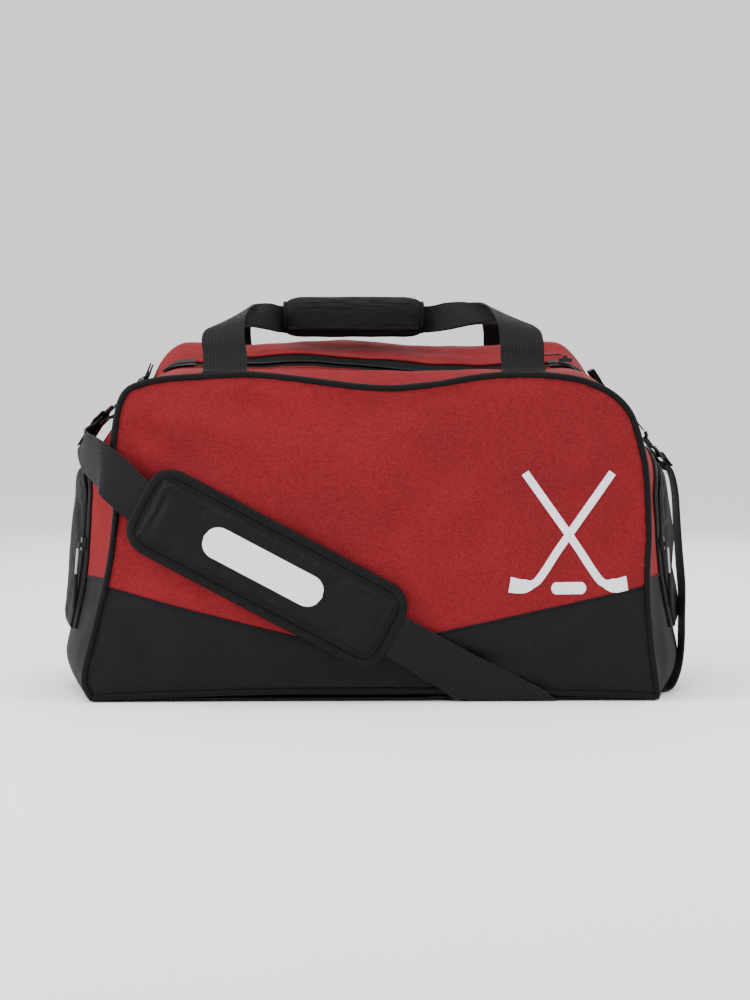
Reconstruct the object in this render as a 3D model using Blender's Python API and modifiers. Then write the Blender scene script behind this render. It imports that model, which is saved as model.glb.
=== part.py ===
"""A soft sports duffel bag: red and black panels, a top zip, end pockets, handles and a shoulder strap.

Metres, +Z up. The origin is at the centre of the base, on the ground. The front faces -Y.
"""

import math

import bpy
import bmesh
import numpy as np
from mathutils import Matrix, Vector

# ---- driving dimensions ----
HALF_DEPTH = 0.140        # centre of the base to the front piping
CLOTH = 0.0024            # padded polyester panel
GAP = 0.0006              # between neighbouring panels
PIPING_R = 0.0035
PANEL_INSET = 0.0043      # panel edge to the piping's centre line
END_BULGE = 0.032         # how far an end stands out at mid depth
FRONT_BULGE = 0.012
SHOULDER_Z = 0.275        # the end's bulge dies away towards this height
SHOULDER_FADE = 0.075
CREST_END_X = 0.225       # the top's crest dies away towards this half length
CREST_FADE = 0.045
CORNER_Z = 0.262          # seam between an end panel and its shoulder
SEAM_Z = 0.111            # red to black seam on the ends
BASE_T = 0.004
FRONT_ARCH = 0.0065       # rise of the bottom front edge at mid width
WEBBING = 0.040           # strap and handle width
WEBBING_T = 0.0018

ZIP_Y = -0.035
ZIP_HALF = 0.0050         # width of one half of the zip chain
ZIP_SPLIT = 0.0010        # gap between the two halves
ZIP_T = 0.0018
MOUTH_X = 0.168           # half length of the mouth flaps
ZIP_END_X = 0.197
FRONT_HINGE_Y = -0.105
REAR_HINGE_Y = 0.070
SLIDER_X = 0.184

POCKET_HALF = 0.075
POCKET_LOW = 0.062
POCKET_TOP = 0.215
POCKET_CORNER = 0.036
POCKET_PROUD = 0.0095
POCKET_LIFT = 0.0029
POCKET_SLIDER_Z = 0.140
FLAP_T = 0.0022
PULL_T = 0.0014
PULL_CORD_R = 0.0022

GRIP_X = (-0.084, 0.049)
GRIP_Z = 0.352
GRIP_HALF_Y = 0.0125
GRIP_HALF_Z = 0.0172
GRIP_WALL = 0.0030
GRIP_LAYER = 0.0034       # how far out the flap lies over the wrap
HANDLE_LEG_X = 0.1360

PAD_CENTRE = Vector((-0.098, -0.1572, 0.123))
PAD_TILT = math.radians(28)
PAD_SIZE = (0.258, 0.010, 0.078)
PAD_CORNER = 0.022
PAD_SLOT = (0.0036, 0.0430)   # thickness and width of the slot the strap runs through
RING_WIRE = 0.0018
TAB_LIFT = 0.0046         # centre of the lower layer above the shoulder

# Half of the front panel's outline, from the bottom corner to the middle of the top edge.
OUTLINE = [(0.2600, 0.0035), (0.2650, 0.0220), (0.2570, 0.0650), (0.2470, 0.1150), (0.2425, 0.1800),
           (0.2405, 0.2320), (0.2300, 0.2680), (0.2050, 0.2885), (0.1600, 0.2965), (0.0800, 0.2945),
           (0.0000, 0.2880)]
# Height of the top panel from front to rear along the mouth.
TOP_PROFILE = [(-0.140, 0.2965), (-0.105, 0.3025), (-0.035, 0.3065), (0.000, 0.3200), (0.030, 0.3305),
               (0.070, 0.3280), (0.110, 0.3150), (0.140, 0.2965)]

RED = (0.355, 0.028, 0.026)
BLACK = (0.018, 0.018, 0.021)

# ---- start clean ----
for stale in list(bpy.data.objects):
    bpy.data.objects.remove(stale, do_unlink=True)
bag = bpy.data.collections.new("duffel_bag")
bpy.context.scene.collection.children.link(bag)
cutters = bpy.data.collections.new("cutters")
bpy.context.scene.collection.children.link(cutters)


def make_material(name, colour, roughness, metallic=0.0):
    material = bpy.data.materials.new(name)
    material.use_nodes = True
    shader = material.node_tree.nodes["Principled BSDF"]
    shader.inputs["Base Color"].default_value = (*colour, 1.0)
    shader.inputs["Roughness"].default_value = roughness
    shader.inputs["Metallic"].default_value = metallic
    return material


LOOKS = {
    "red_cloth": (RED, 0.80, 0.0),
    "black_cloth": (BLACK, 0.75, 0.0),
    "piping": ((0.012, 0.012, 0.012), 0.60, 0.0),
    "webbing": ((0.016, 0.016, 0.017), 0.70, 0.0),
    "zip": ((0.014, 0.014, 0.015), 0.50, 0.0),
    "silver": ((0.62, 0.62, 0.64), 0.28, 1.0),
    "dark_metal": ((0.10, 0.10, 0.11), 0.35, 1.0),
    "rubber": ((0.020, 0.020, 0.021), 0.55, 0.0),
    "board": ((0.060, 0.060, 0.060), 0.60, 0.0),
}


def finish(obj, look):
    """Give an object its own material and put it in the bag's collection."""
    colour, roughness, metallic = LOOKS[look]
    obj.data.materials.clear()
    obj.data.materials.append(make_material(obj.name, colour, roughness, metallic))
    return obj


# ---- curves and surfaces ----
def smooth_step(t):
    t = min(max(t, 0.0), 1.0)
    return t * t * (3.0 - 2.0 * t)


def through(points, per_span):
    """Points along the smooth curve through the given ones (Catmull-Rom), any number of values each."""
    p = np.array(points, float)
    p = np.vstack([2 * p[0] - p[1], p, 2 * p[-1] - p[-2]])
    out = []
    for i in range(1, len(p) - 2):
        for k in range(per_span):
            t = k / per_span
            out.append(0.5 * (2 * p[i] + (p[i + 1] - p[i - 1]) * t
                              + (2 * p[i - 1] - 5 * p[i] + 4 * p[i + 1] - p[i + 2]) * t * t
                              + (3 * p[i] - p[i - 1] - 3 * p[i + 1] + p[i + 2]) * t ** 3))
    out.append(p[-2])
    return np.array(out)


RIM = through([(-x, z) for x, z in OUTLINE] + OUTLINE[-2::-1], 24)   # left bottom, over the top, right bottom
RIM_S = np.concatenate([[0.0], np.cumsum(np.linalg.norm(np.diff(RIM, axis=0), axis=1))])
RIM_N = np.gradient(RIM, axis=0)
RIM_N = np.stack([-RIM_N[:, 1], RIM_N[:, 0]], axis=1)
RIM_N /= np.linalg.norm(RIM_N, axis=1)[:, None]
TOP = through(TOP_PROFILE, 12)


def rim(s):
    """The outline's point and outward normal at a distance s along it."""
    return (np.array([np.interp(s, RIM_S, RIM[:, i]) for i in (0, 1)]),
            np.array([np.interp(s, RIM_S, RIM_N[:, i]) for i in (0, 1)]))


def rim_at_height(z):
    """Distance along the outline to the point at height z on the left end."""
    half = len(RIM) // 3
    return float(np.interp(z, RIM[:half, 1], RIM_S[:half]))


def rim_at_x(x):
    middle = slice(len(RIM) // 4, 3 * len(RIM) // 4)
    return float(np.interp(x, RIM[middle, 0], RIM_S[middle]))


def top_height(y):
    return float(np.interp(y, TOP[:, 0], TOP[:, 1]))


RIM_LENGTH = RIM_S[-1]
FLAT_Z = OUTLINE[8][1]


def skin(s, y):
    """A point on the outer surface of the band that runs round the bag between the two pipings."""
    point, normal = rim(s)
    v = y / HALF_DEPTH
    foot = 0.55 + 0.45 * smooth_step(point[1] / 0.040)
    shoulder = smooth_step((SHOULDER_Z - point[1]) / SHOULDER_FADE)
    side = END_BULGE * foot * shoulder * (1.0 - v * v)
    on_top = smooth_step((normal[1] - 0.30) / 0.65)
    level = smooth_step((0.2050 - abs(point[0])) / 0.035)
    lean = (1.0 - level) * normal + level * np.array([0.0, 1.0])
    outward = math.copysign(1.0, point[0])
    # Over the mouth the surface is straight along X; next to each piping it eases into the outline.
    ease = smooth_step((HALF_DEPTH - abs(y)) / (HALF_DEPTH + FRONT_HINGE_Y))
    crest = smooth_step((CREST_END_X - abs(point[0])) / CREST_FADE)
    rise = (top_height(y) - FLAT_Z) * crest + (FLAT_Z - point[1]) * ease * level
    return Vector((point[0] + outward * side * (1.0 - on_top) + lean[0] * rise * on_top, y,
                   point[1] + lean[1] * rise * on_top))


def end_skin(side, y, z):
    """A point on an end panel at height z, on the left (-1) or right (1)."""
    point = skin(rim_at_height(z), y)
    return Vector((-side * point.x, y, point.z))


def front_face(x, z):
    """How far the front panel stands out in front of the piping."""
    across = max(0.0, 1.0 - (x / 0.250) ** 2)
    up = max(0.0, 1.0 - ((z - 0.150) / 0.150) ** 2)
    return FRONT_BULGE * across * up


def bottom_edge(x):
    return 0.0035 + FRONT_ARCH * (1.0 - (x / 0.260) ** 2)


def seam(x):
    """Height of the shallow V seam between red and black on the front and rear."""
    foot_x, foot_z = -0.020, 0.046
    end = -0.247 if x < foot_x else 0.249
    t = (x - foot_x) / (end - foot_x)
    return foot_z + (0.106 - foot_z) * math.sqrt(t * t + 0.004) / math.sqrt(1.004)


# ---- building blocks ----
def link(name, mesh, collection=None):
    obj = bpy.data.objects.new(name, mesh)
    (collection or bag).objects.link(obj)
    return obj


def grid_mesh(name, points, outward):
    """A sheet over rows of points, facing the outward direction."""
    bm = bmesh.new()
    rows = [[bm.verts.new(p) for p in row] for row in points]
    for row, above in zip(rows, rows[1:]):
        for i in range(len(row) - 1):
            bm.faces.new((row[i], row[i + 1], above[i + 1], above[i]))
    bm.normal_update()
    facing = sum(f.normal.dot(outward(f.calc_center_median())) for f in bm.faces)
    if facing < 0:
        bmesh.ops.reverse_faces(bm, faces=bm.faces[:])
    mesh = bpy.data.meshes.new(name)
    bm.to_mesh(mesh)
    bm.free()
    mesh.shade_smooth()
    return mesh


def solid_sheet(name, points, outward, thickness, look, offset=-1.0):
    """A panel with its outer face on the given points."""
    obj = link(name, grid_mesh(name, points, outward))
    shell = obj.modifiers.new("thickness", "SOLIDIFY")
    shell.thickness = thickness
    shell.offset = offset
    shell.use_even_offset = True
    return finish(obj, look)


def tube(name, points, radius, look, cyclic=False, sides=2):
    curve = bpy.data.curves.new(name, "CURVE")
    curve.dimensions = "3D"
    curve.bevel_depth = radius
    curve.bevel_resolution = sides
    curve.use_fill_caps = not cyclic
    spline = curve.splines.new("POLY")
    spline.points.add(len(points) - 1)
    for place, point in zip(spline.points, points):
        place.co = (*point, 1.0)
    spline.use_cyclic_u = cyclic
    return finish(link(name, curve), look)


def tube_mesh(name, points, radius, cyclic=False, sides=2):
    """A tube as a mesh with welded caps, for shapes that are joined into one body."""
    wire = tube(name + "_wire", points, radius, "dark_metal", cyclic, sides)
    evaluated = wire.evaluated_get(bpy.context.evaluated_depsgraph_get())
    mesh = bpy.data.meshes.new_from_object(evaluated)
    bm = bmesh.new()
    bm.from_mesh(mesh)
    bmesh.ops.remove_doubles(bm, verts=bm.verts[:], dist=0.00001)
    bm.to_mesh(mesh)
    bm.free()
    bpy.data.objects.remove(wire, do_unlink=True)
    return mesh


def block_mesh(name, size, matrix=Matrix.Identity(4)):
    bm = bmesh.new()
    bmesh.ops.create_cube(bm, size=1.0, matrix=matrix @ Matrix.Diagonal((*size, 1.0)))
    mesh = bpy.data.meshes.new(name)
    bm.to_mesh(mesh)
    bm.free()
    return mesh


def block(name, size, matrix, look, bevel=0.0):
    obj = link(name, block_mesh(name, size))
    obj.matrix_world = matrix
    if bevel:
        edge = obj.modifiers.new("rounded", "BEVEL")
        edge.width = bevel
        edge.segments = 2
    return finish(obj, look)


def ribbon(name, route, thickness, look, per_span=4, across=1):
    """Flat webbing. Each route entry is a centre point and the vector from it to one edge."""
    samples = through([(*p, *w) for p, w in route], per_span)
    rows = []
    for sample in samples:
        centre, half = Vector(sample[:3]), Vector(sample[3:])
        rows.append([centre + half * (2.0 * k / across - 1.0) for k in range(across + 1)])
    return solid_sheet(name, rows, lambda p: Vector((0, 0, 1)), thickness, look, offset=0.0)


def join(name, meshes, look, matrix=Matrix.Identity(4)):
    """Several closed meshes joined into one body."""
    obj = link(name, meshes[0])
    obj.matrix_world = matrix
    for mesh in meshes[1:]:
        tool = link(name + "_piece", mesh, cutters)
        tool.matrix_world = matrix
        tool.hide_render = True
        tool.display_type = "WIRE"
        union = obj.modifiers.new("joined", "BOOLEAN")
        union.operation = "UNION"
        union.object = tool
    return finish(obj, look)


def axes(origin, x, y, z):
    """A placement matrix from an origin and three unit directions."""
    m = Matrix.Identity(4)
    for i, column in enumerate((x, y, z, origin)):
        for j in range(3):
            m[j][i] = column[j]
    return m


def steps(low, high, count):
    return [low + (high - low) * i / count for i in range(count + 1)]


# ---- shell ----
def face_panel(name, low, high, left, right, sign, look, columns=20, rows=8):
    """A front (-1) or rear (1) panel: a patch between four edge curves in the XZ plane."""
    points = []
    for j in range(rows + 1):
        v = j / rows
        row = []
        for i in range(columns + 1):
            u = i / columns
            edge = ((1 - v) * low(u) + v * high(u) + (1 - u) * left(v) + u * right(v)
                    - (1 - u) * (1 - v) * low(0) - u * (1 - v) * low(1)
                    - (1 - u) * v * high(0) - u * v * high(1))
            x, z = float(edge[0]), float(edge[1])
            row.append(Vector((x, sign * (HALF_DEPTH + front_face(x, z)), z)))
        points.append(row)
    return solid_sheet(name, points, lambda p: Vector((0, sign, 0)), CLOTH, look)


def inset(s):
    point, normal = rim(s)
    return point - normal * PANEL_INSET


def face_panels(prefix, sign):
    s_seam = rim_at_height(0.106)
    s_foot = rim_at_height(0.0035 + PANEL_INSET)
    s_corner = rim_at_x(-0.222)
    last = RIM_LENGTH
    half_gap = GAP / 2

    def seam_point(u, lift):
        left, right = inset(s_seam), inset(last - s_seam)
        x = left[0] + (right[0] - left[0]) * u
        return np.array([x, seam(x) + lift])

    def side(a, b, mirrored):
        def at(v):
            s = a + (b - a) * v
            return inset(last - s if mirrored else s)
        return at

    def bottom(u):
        left, right = inset(s_foot), inset(last - s_foot)
        x = left[0] + (right[0] - left[0]) * u
        return np.array([x, bottom_edge(x) + PANEL_INSET])

    def top(u):
        return inset(s_corner + (last - 2 * s_corner) * u)

    face_panel(prefix + "_panel_lower", bottom, lambda u: seam_point(u, -half_gap),
               side(s_foot, s_seam - half_gap, False), side(s_foot, s_seam - half_gap, True),
               sign, "black_cloth", rows=4)
    face_panel(prefix + "_panel_upper", lambda u: seam_point(u, half_gap), top,
               side(s_seam + half_gap, s_corner, False), side(s_seam + half_gap, s_corner, True),
               sign, "red_cloth")


def piping(name, sign):
    loop = []
    for s in steps(0.0, RIM_LENGTH, 44):
        point, _ = rim(s)
        loop.append((point[0], sign * HALF_DEPTH, point[1]))
    for x in steps(OUTLINE[0][0], -OUTLINE[0][0], 8)[1:-1]:
        loop.append((x, sign * HALF_DEPTH, bottom_edge(x)))
    tube(name, loop, PIPING_R, "piping", cyclic=True)


def band(name, s_low, s_high, y_low, y_high, look, columns, rows, mirrored=False):
    """A panel of the band round the bag, between two distances along the outline and two depths."""
    points = []
    for s in steps(s_low, s_high, rows):
        row = [skin(s, y) for y in steps(y_low, y_high, columns)]
        if mirrored:
            row = [Vector((-p.x, p.y, p.z)) for p in row]
        points.append(row)
    middle = Vector((0, 0, 0.140))
    return solid_sheet(name, points, lambda p: p - middle, CLOTH, look)


EDGE_Y = HALF_DEPTH - PANEL_INSET


def end_panels():
    s_low = rim_at_height(BASE_T + GAP)
    s_seam = rim_at_height(SEAM_Z)
    s_corner = rim_at_height(CORNER_Z)
    s_mouth = rim_at_x(-MOUTH_X - GAP)
    for side, mirrored in (("left", False), ("right", True)):
        band("end_panel_lower_" + side, s_low, s_seam - GAP / 2, -EDGE_Y, EDGE_Y, "black_cloth", 10, 6,
             mirrored)
        band("end_panel_upper_" + side, s_seam + GAP / 2, s_corner - GAP, -EDGE_Y, EDGE_Y, "red_cloth",
             10, 6, mirrored)
        band("top_end_" + side, s_corner + GAP, s_mouth, -EDGE_Y, EDGE_Y, "red_cloth", 14, 5, mirrored)


def top_panels():
    s_a, s_b = rim_at_x(-MOUTH_X), rim_at_x(MOUTH_X)
    zip_front = ZIP_Y - ZIP_HALF - ZIP_SPLIT / 2 - GAP / 2
    zip_rear = ZIP_Y + ZIP_HALF + ZIP_SPLIT / 2 + GAP / 2
    band("top_front_strip", s_a, s_b, -EDGE_Y, FRONT_HINGE_Y - 2 * GAP, "red_cloth", 2, 12)
    band("mouth_flap_front", s_a, s_b, FRONT_HINGE_Y, zip_front, "red_cloth", 3, 12)
    band("mouth_flap_rear", s_a, s_b, zip_rear, REAR_HINGE_Y, "red_cloth", 7, 12)
    band("top_rear_strip", s_a, s_b, REAR_HINGE_Y + 2 * GAP, EDGE_Y, "red_cloth", 4, 12)


def base():
    outline = [skin(0.0, y) for y in steps(-EDGE_Y, EDGE_Y, 12)]
    loop = [(p.x, p.y) for p in outline] + [(-p.x, p.y) for p in reversed(outline)]

    def plate(name, ring, low, high, look):
        bm = bmesh.new()
        face = bm.faces.new([bm.verts.new((x, y, low)) for x, y in ring])
        raised = bmesh.ops.extrude_face_region(bm, geom=[face])
        lifted = [v for v in raised["geom"] if isinstance(v, bmesh.types.BMVert)]
        bmesh.ops.translate(bm, verts=lifted, vec=(0, 0, high - low))
        bmesh.ops.recalc_face_normals(bm, faces=bm.faces[:])
        mesh = bpy.data.meshes.new(name)
        bm.to_mesh(mesh)
        bm.free()
        return finish(link(name, mesh), look)

    panel = plate("base_panel", loop, 0.0, BASE_T, "black_cloth")
    plate("base_board", [(x * 0.955, y * 0.95) for x, y in loop], BASE_T + GAP, BASE_T + GAP + 0.003, "board")
    # The strap lies under the bag, pressed into the soft base.
    stretch = STRAP_ROUTE[UNDER[0]:UNDER[1]]
    edges = [p + w * 1.05 for p, w in stretch] + [p - w * 1.05 for p, w in reversed(stretch)]
    slot = plate("strap_groove", [(p.x, p.y) for p in edges], -0.0010, 0.0024, "webbing")
    bag.objects.unlink(slot)
    cutters.objects.link(slot)
    slot.hide_render = True
    slot.display_type = "WIRE"
    cut = panel.modifiers.new("groove", "BOOLEAN")
    cut.operation = "DIFFERENCE"
    cut.object = slot


# ---- main zip ----
def main_zip():
    s_a, s_b = rim_at_x(-MOUTH_X), rim_at_x(MOUTH_X)
    up = Vector((0, 0, 1))
    halves = (("main_zip_front", ZIP_Y - ZIP_SPLIT / 2 - ZIP_HALF), ("main_zip_rear", ZIP_Y + ZIP_SPLIT / 2))
    for name, low in halves:
        rows = [[skin(s, y) + up * 0.0006 for y in (low, low + ZIP_HALF)] for s in steps(s_a, s_b, 12)]
        solid_sheet(name, rows, lambda p: up, ZIP_T, "zip")
    for side, sign in (("left", -1), ("right", 1)):
        rows = []
        for x in steps(MOUTH_X + GAP, ZIP_END_X, 3):
            s = rim_at_x(-x)
            rows.append([Vector((-sign * p.x, p.y, p.z + 0.0030))
                         for p in (skin(s, ZIP_Y - ZIP_HALF - 0.001), skin(s, ZIP_Y + ZIP_HALF + 0.001))])
        solid_sheet("main_zip_end_" + side, rows, lambda p: up, ZIP_T, "zip")
    deck = top_height(ZIP_Y) + 0.0038
    place = Matrix.Translation((SLIDER_X, ZIP_Y, deck + 0.0020))
    base_block = block_mesh("slider_body", (0.0120, 0.0090, 0.0036))
    lug = block_mesh("slider_lug", (0.0045, 0.0022, 0.0030), Matrix.Translation((0.0, 0.0, 0.0028)))
    join("main_slider", [base_block, lug], "dark_metal", place)
    # The pull lies back along the zip, nearly level, so that it clears both zip ends as it travels.
    hinge = Vector((SLIDER_X - 0.0035, ZIP_Y, deck + 0.0074))
    back = Vector((-1.0, 0.0, -0.045)).normalized()
    side = Vector((0, 1, 0))
    block("main_pull", (0.0230, 0.0065, PULL_T), axes(hinge + back * 0.0118, back, side, back.cross(side)),
          "silver", 0.0004)
    cord = [hinge + back * d for d in (0.0240, 0.0360, 0.0480)]
    tube("main_pull_cord", cord, PULL_CORD_R, "rubber")


# ---- end pockets ----
def arch(t, grow):
    """A point (y, z) on the pocket's arched edge, t from 0 at the front foot to 1 at the rear foot."""
    half, corner = POCKET_HALF + grow, POCKET_CORNER + grow
    leg = POCKET_TOP + grow - corner - POCKET_LOW
    turn = corner * math.pi / 2
    flat = 2 * (half - corner)
    run = t * (2 * leg + 2 * turn + flat)
    if run < leg:
        return -half, POCKET_LOW + run
    run -= leg
    if run < turn:
        a = run / corner
        return -half + corner * (1 - math.cos(a)), POCKET_LOW + leg + corner * math.sin(a)
    run -= turn
    if run < flat:
        return -half + corner + run, POCKET_TOP + grow
    run -= flat
    if run < turn:
        a = run / corner
        return half - corner + corner * math.sin(a), POCKET_LOW + leg + corner * math.cos(a)
    return half, POCKET_LOW + leg - (run - turn)


def pocket_skin(side, y, z):
    """The pocket flap's outer face: it follows the end panel and swells in the middle."""
    across = max(0.0, 1.0 - (y / POCKET_HALF) ** 2)
    middle = (POCKET_LOW + POCKET_TOP) / 2
    up = max(0.0, 1.0 - ((z - middle) / (POCKET_TOP - middle)) ** 2)
    out = POCKET_LIFT + POCKET_PROUD * math.sqrt(across * up)
    point = end_skin(side, y, z)
    return Vector((point.x + side * out, y, point.z))


def pocket(side_name, side):
    rows = []
    for j in range(9):
        v = 1 - (1 - j / 8) ** 1.6
        z = POCKET_LOW + (POCKET_TOP - POCKET_LOW) * v
        over = max(0.0, z - (POCKET_TOP - POCKET_CORNER))
        half = POCKET_HALF - POCKET_CORNER + math.sqrt(max(POCKET_CORNER ** 2 - over ** 2, 0.0))
        rows.append([pocket_skin(side, y, z) for y in steps(-half, half, 10)])
    solid_sheet("pocket_flap_" + side_name, rows, lambda p: Vector((side, 0, 0)), FLAP_T, "black_cloth")

    strip = []
    for t in steps(0.0, 1.0, 30):
        inner, outer = arch(t, 0.0010), arch(t, 0.0085)
        strip.append([end_skin(side, y, z) + Vector((side * 0.0022, 0, 0)) for y, z in (inner, outer)])
    solid_sheet("pocket_zip_" + side_name, strip, lambda p: Vector((side, 0, 0)), 0.0016, "zip")

    low = end_skin(side, -POCKET_HALF - 0.005, 0.105)
    high = end_skin(side, -POCKET_HALF - 0.005, 0.175)
    up = (high - low).normalized()
    away = end_skin(side, -POCKET_HALF + 0.004, 0.14) - end_skin(side, -POCKET_HALF - 0.014, 0.14)
    across = (away - up * away.dot(up)).normalized()
    out = up.cross(across).normalized()
    if out.x * side < 0:
        out = -out
        across = -across
    foot = end_skin(side, -POCKET_HALF - 0.005, POCKET_SLIDER_Z)
    place = axes(foot + out * 0.0052, up, across, out)
    body = block_mesh("slider", (0.0120, 0.0088, 0.0034))
    lug = block_mesh("lug", (0.0045, 0.0022, 0.0030), Matrix.Translation((-0.0010, 0.0, 0.0030)))
    join("pocket_slider_" + side_name, [body, lug], "dark_metal", place)
    hinge = foot + out * 0.0100 - up * 0.0045
    drop = axes(hinge - up * 0.0120, up, across, out)
    block("pocket_pull_" + side_name, (0.0240, 0.0062, PULL_T), drop, "silver", 0.0004)
    cord = [hinge - up * 0.0245, hinge - up * 0.0400 - out * 0.0006, hinge - up * 0.0560 - out * 0.0006]
    tube("pocket_pull_cord_" + side_name, cord, PULL_CORD_R, "rubber")


# ---- handles ----
def handle(name, sign):
    """Webbing sewn near one piping, arching up into the grip. sign is -1 at the front."""
    leg = HANDLE_LEG_X
    half = WEBBING / 2
    lying = sign * 0.0040
    inner = 0.0126
    root = top_height(sign * 0.1335) + 0.0022
    left = [((-leg, sign * 0.1330, root), (half, 0, 0)),
            ((-leg, sign * 0.1215, top_height(sign * 0.1215) + 0.0030), (half, 0, 0)),
            ((-leg, sign * 0.1130, 0.3220), (half, 0, 0)),
            ((-leg - 0.001, sign * 0.1010, 0.3400), (half * 0.95, sign * -0.002, 0.004)),
            ((-leg + 0.006, sign * 0.0780, 0.3520), (half * 0.72, sign * -0.011, 0.008)),
            ((-leg + 0.020, sign * 0.0480, 0.3560), (half * 0.35, sign * -0.014, 0.0095)),
            ((-leg + 0.036, sign * 0.0200, 0.3550), (half * 0.08, sign * -0.009, 0.0120)),
            ((GRIP_X[0] - 0.004, sign * 0.0065, GRIP_Z), (0, sign * -0.001, inner)),
            ((GRIP_X[0] + 0.012, lying, GRIP_Z), (0, 0, inner)),
            ((-0.0400, lying, GRIP_Z), (0, 0, inner)), ((0.0000, lying, GRIP_Z), (0, 0, inner)),
            ((GRIP_X[1] - 0.010, lying, GRIP_Z), (0, 0, inner))]
    right = [((0.056, sign * 0.0065, GRIP_Z), (0, sign * 0.001, inner)),
             ((leg - 0.062, sign * 0.0160, 0.3550), (half * -0.08, sign * -0.007, 0.0125)),
             ((leg - 0.038, sign * 0.0400, 0.3580), (half * -0.35, sign * -0.014, 0.0095)),
             ((leg - 0.014, sign * 0.0740, 0.3550), (half * -0.72, sign * -0.011, 0.008)),
             ((leg - 0.001, sign * 0.1000, 0.3410), (half * -0.95, sign * -0.002, 0.004)),
             ((leg, sign * 0.1130, 0.3220), (-half, 0, 0)),
             ((leg, sign * 0.1215, top_height(sign * 0.1215) + 0.0030), (-half, 0, 0)),
             ((leg, sign * 0.1330, root), (-half, 0, 0))]
    ribbon(name, left + right, WEBBING_T, "webbing", per_span=3)


def grip_ring(angle, extra):
    """A point (y, z) on the grip's rounded section, at an angle in degrees from +Y."""
    a = math.radians(angle)
    c, s = math.cos(a), math.sin(a)
    return ((GRIP_HALF_Y + extra) * math.copysign(abs(c) ** 0.6, c),
            GRIP_Z + (GRIP_HALF_Z + extra) * math.copysign(abs(s) ** 0.6, s))


def grip():
    """A padded wrap round both handles, closed by a flap down the front."""
    def wrap(name, low, high, count, extra, ends):
        rows = [[Vector((x, *grip_ring(a, extra))) for x in steps(*ends, 4)] for a in steps(low, high, count)]
        solid_sheet(name, rows, lambda p: Vector((0, p.y, p.z - GRIP_Z)), GRIP_WALL, "black_cloth")

    wrap("grip_wrap", 150, 440, 22, 0.0, GRIP_X)
    wrap("grip_flap", 84, 196, 10, GRIP_LAYER, (GRIP_X[0] + 0.001, GRIP_X[1] - 0.001))


# ---- shoulder strap ----
PAD_ALONG = Vector((math.cos(PAD_TILT), 0, -math.sin(PAD_TILT)))
PAD_ACROSS = Vector((math.sin(PAD_TILT), 0, math.cos(PAD_TILT)))
PERP = PAD_ACROSS * (WEBBING / 2)


def on_pad(distance):
    return (tuple(PAD_CENTRE + PAD_ALONG * distance), tuple(PERP))


# From the left hook, round the front left edge, through the pad, under the base and up the right end.
STRAP_ROUTE = [(Vector(p), Vector(w)) for p, w in [
    ((-0.2620, -0.0660, 0.2465), (0.0091, -0.0120, 0.0130)),
    ((-0.2678, -0.0767, 0.2406), (0.0091, -0.0120, 0.0130)),
    ((-0.2680, -0.1020, 0.2290), (0.0020, -0.0085, 0.0182)),
    ((-0.2520, -0.1370, 0.2180), (0.0000, -0.0020, 0.0225)),
    ((-0.2455, -0.1490, 0.2125), (0.0040, 0.0000, 0.0220)),
    ((-0.2330, -0.1550, 0.2020), (0.0085, 0.0000, 0.0195)),
    on_pad(-0.1300), on_pad(-0.0950), on_pad(-0.0500), on_pad(0.0000), on_pad(0.0500), on_pad(0.0950),
    on_pad(0.1300),
    ((0.0330, -0.1545, 0.0520), (0.0100, 0.0000, 0.0175)),
    ((0.0510, -0.1520, 0.0415), (0.0176, 0.0000, 0.0137)),
    ((0.0700, -0.1490, 0.0305), (0.0284, 0.0000, 0.0085)),
    ((0.0880, -0.1468, 0.0210), (0.0383, 0.0000, 0.0038)),
    ((0.1030, -0.1458, 0.0130), (0.0455, 0.0000, 0.0005)),
    ((0.1120, -0.1452, 0.0070), (0.0464, 0.0000, 0.0000)),
    ((0.1175, -0.1430, 0.0024), (0.0464, 0.0000, 0.0000)),
    ((0.1230, -0.1365, 0.0011), (0.0464, 0.0000, 0.0000)),
    ((0.1320, -0.1290, 0.0011), (0.0455, -0.0004, 0.0000)),
    ((0.1500, -0.1205, 0.0011), (0.0401, -0.0030, 0.0000)),
    ((0.1750, -0.1085, 0.0011), (0.0311, -0.0073, 0.0000)),
    ((0.2050, -0.0940, 0.0011), (0.0194, -0.0128, 0.0000)),
    ((0.2350, -0.0795, 0.0011), (0.0086, -0.0180, 0.0000)),
    ((0.2620, -0.0665, 0.0011), (0.0000, -0.0222, 0.0000)),
    ((0.2770, -0.0600, 0.0014), (0.0000, -0.0222, 0.0000)),
    ((0.2850, -0.0565, 0.0075), (0.0000, -0.0222, 0.0000)),
    ((0.2915, -0.0520, 0.0220), (0.0000, -0.0215, 0.0030)),
    ((0.2950, -0.0450, 0.0400), (0.0000, -0.0195, 0.0070)),
    ((0.2965, -0.0370, 0.0600), (0.0000, -0.0185, 0.0080)),
    ((0.2985, -0.0250, 0.0900), (0.0000, -0.0187, 0.0070)),
    ((0.2975, -0.0120, 0.1250), (0.0000, -0.0192, 0.0050)),
    ((0.2965, -0.0030, 0.1560), (0.0000, -0.0198, 0.0025)),
    ((0.2950, 0.0010, 0.1850), (0.0000, -0.0200, 0.0000)),
    ((0.2904, 0.0010, 0.2045), (0.0000, -0.0200, 0.0000)),
    ((0.2830, 0.0010, 0.2140), (0.0000, -0.0200, 0.0000)),
]]
UNDER = (19, 29)          # the stretch of the route that lies under the base


def strap():
    ribbon("shoulder_strap", STRAP_ROUTE, WEBBING_T, "webbing", per_span=3)


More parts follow.
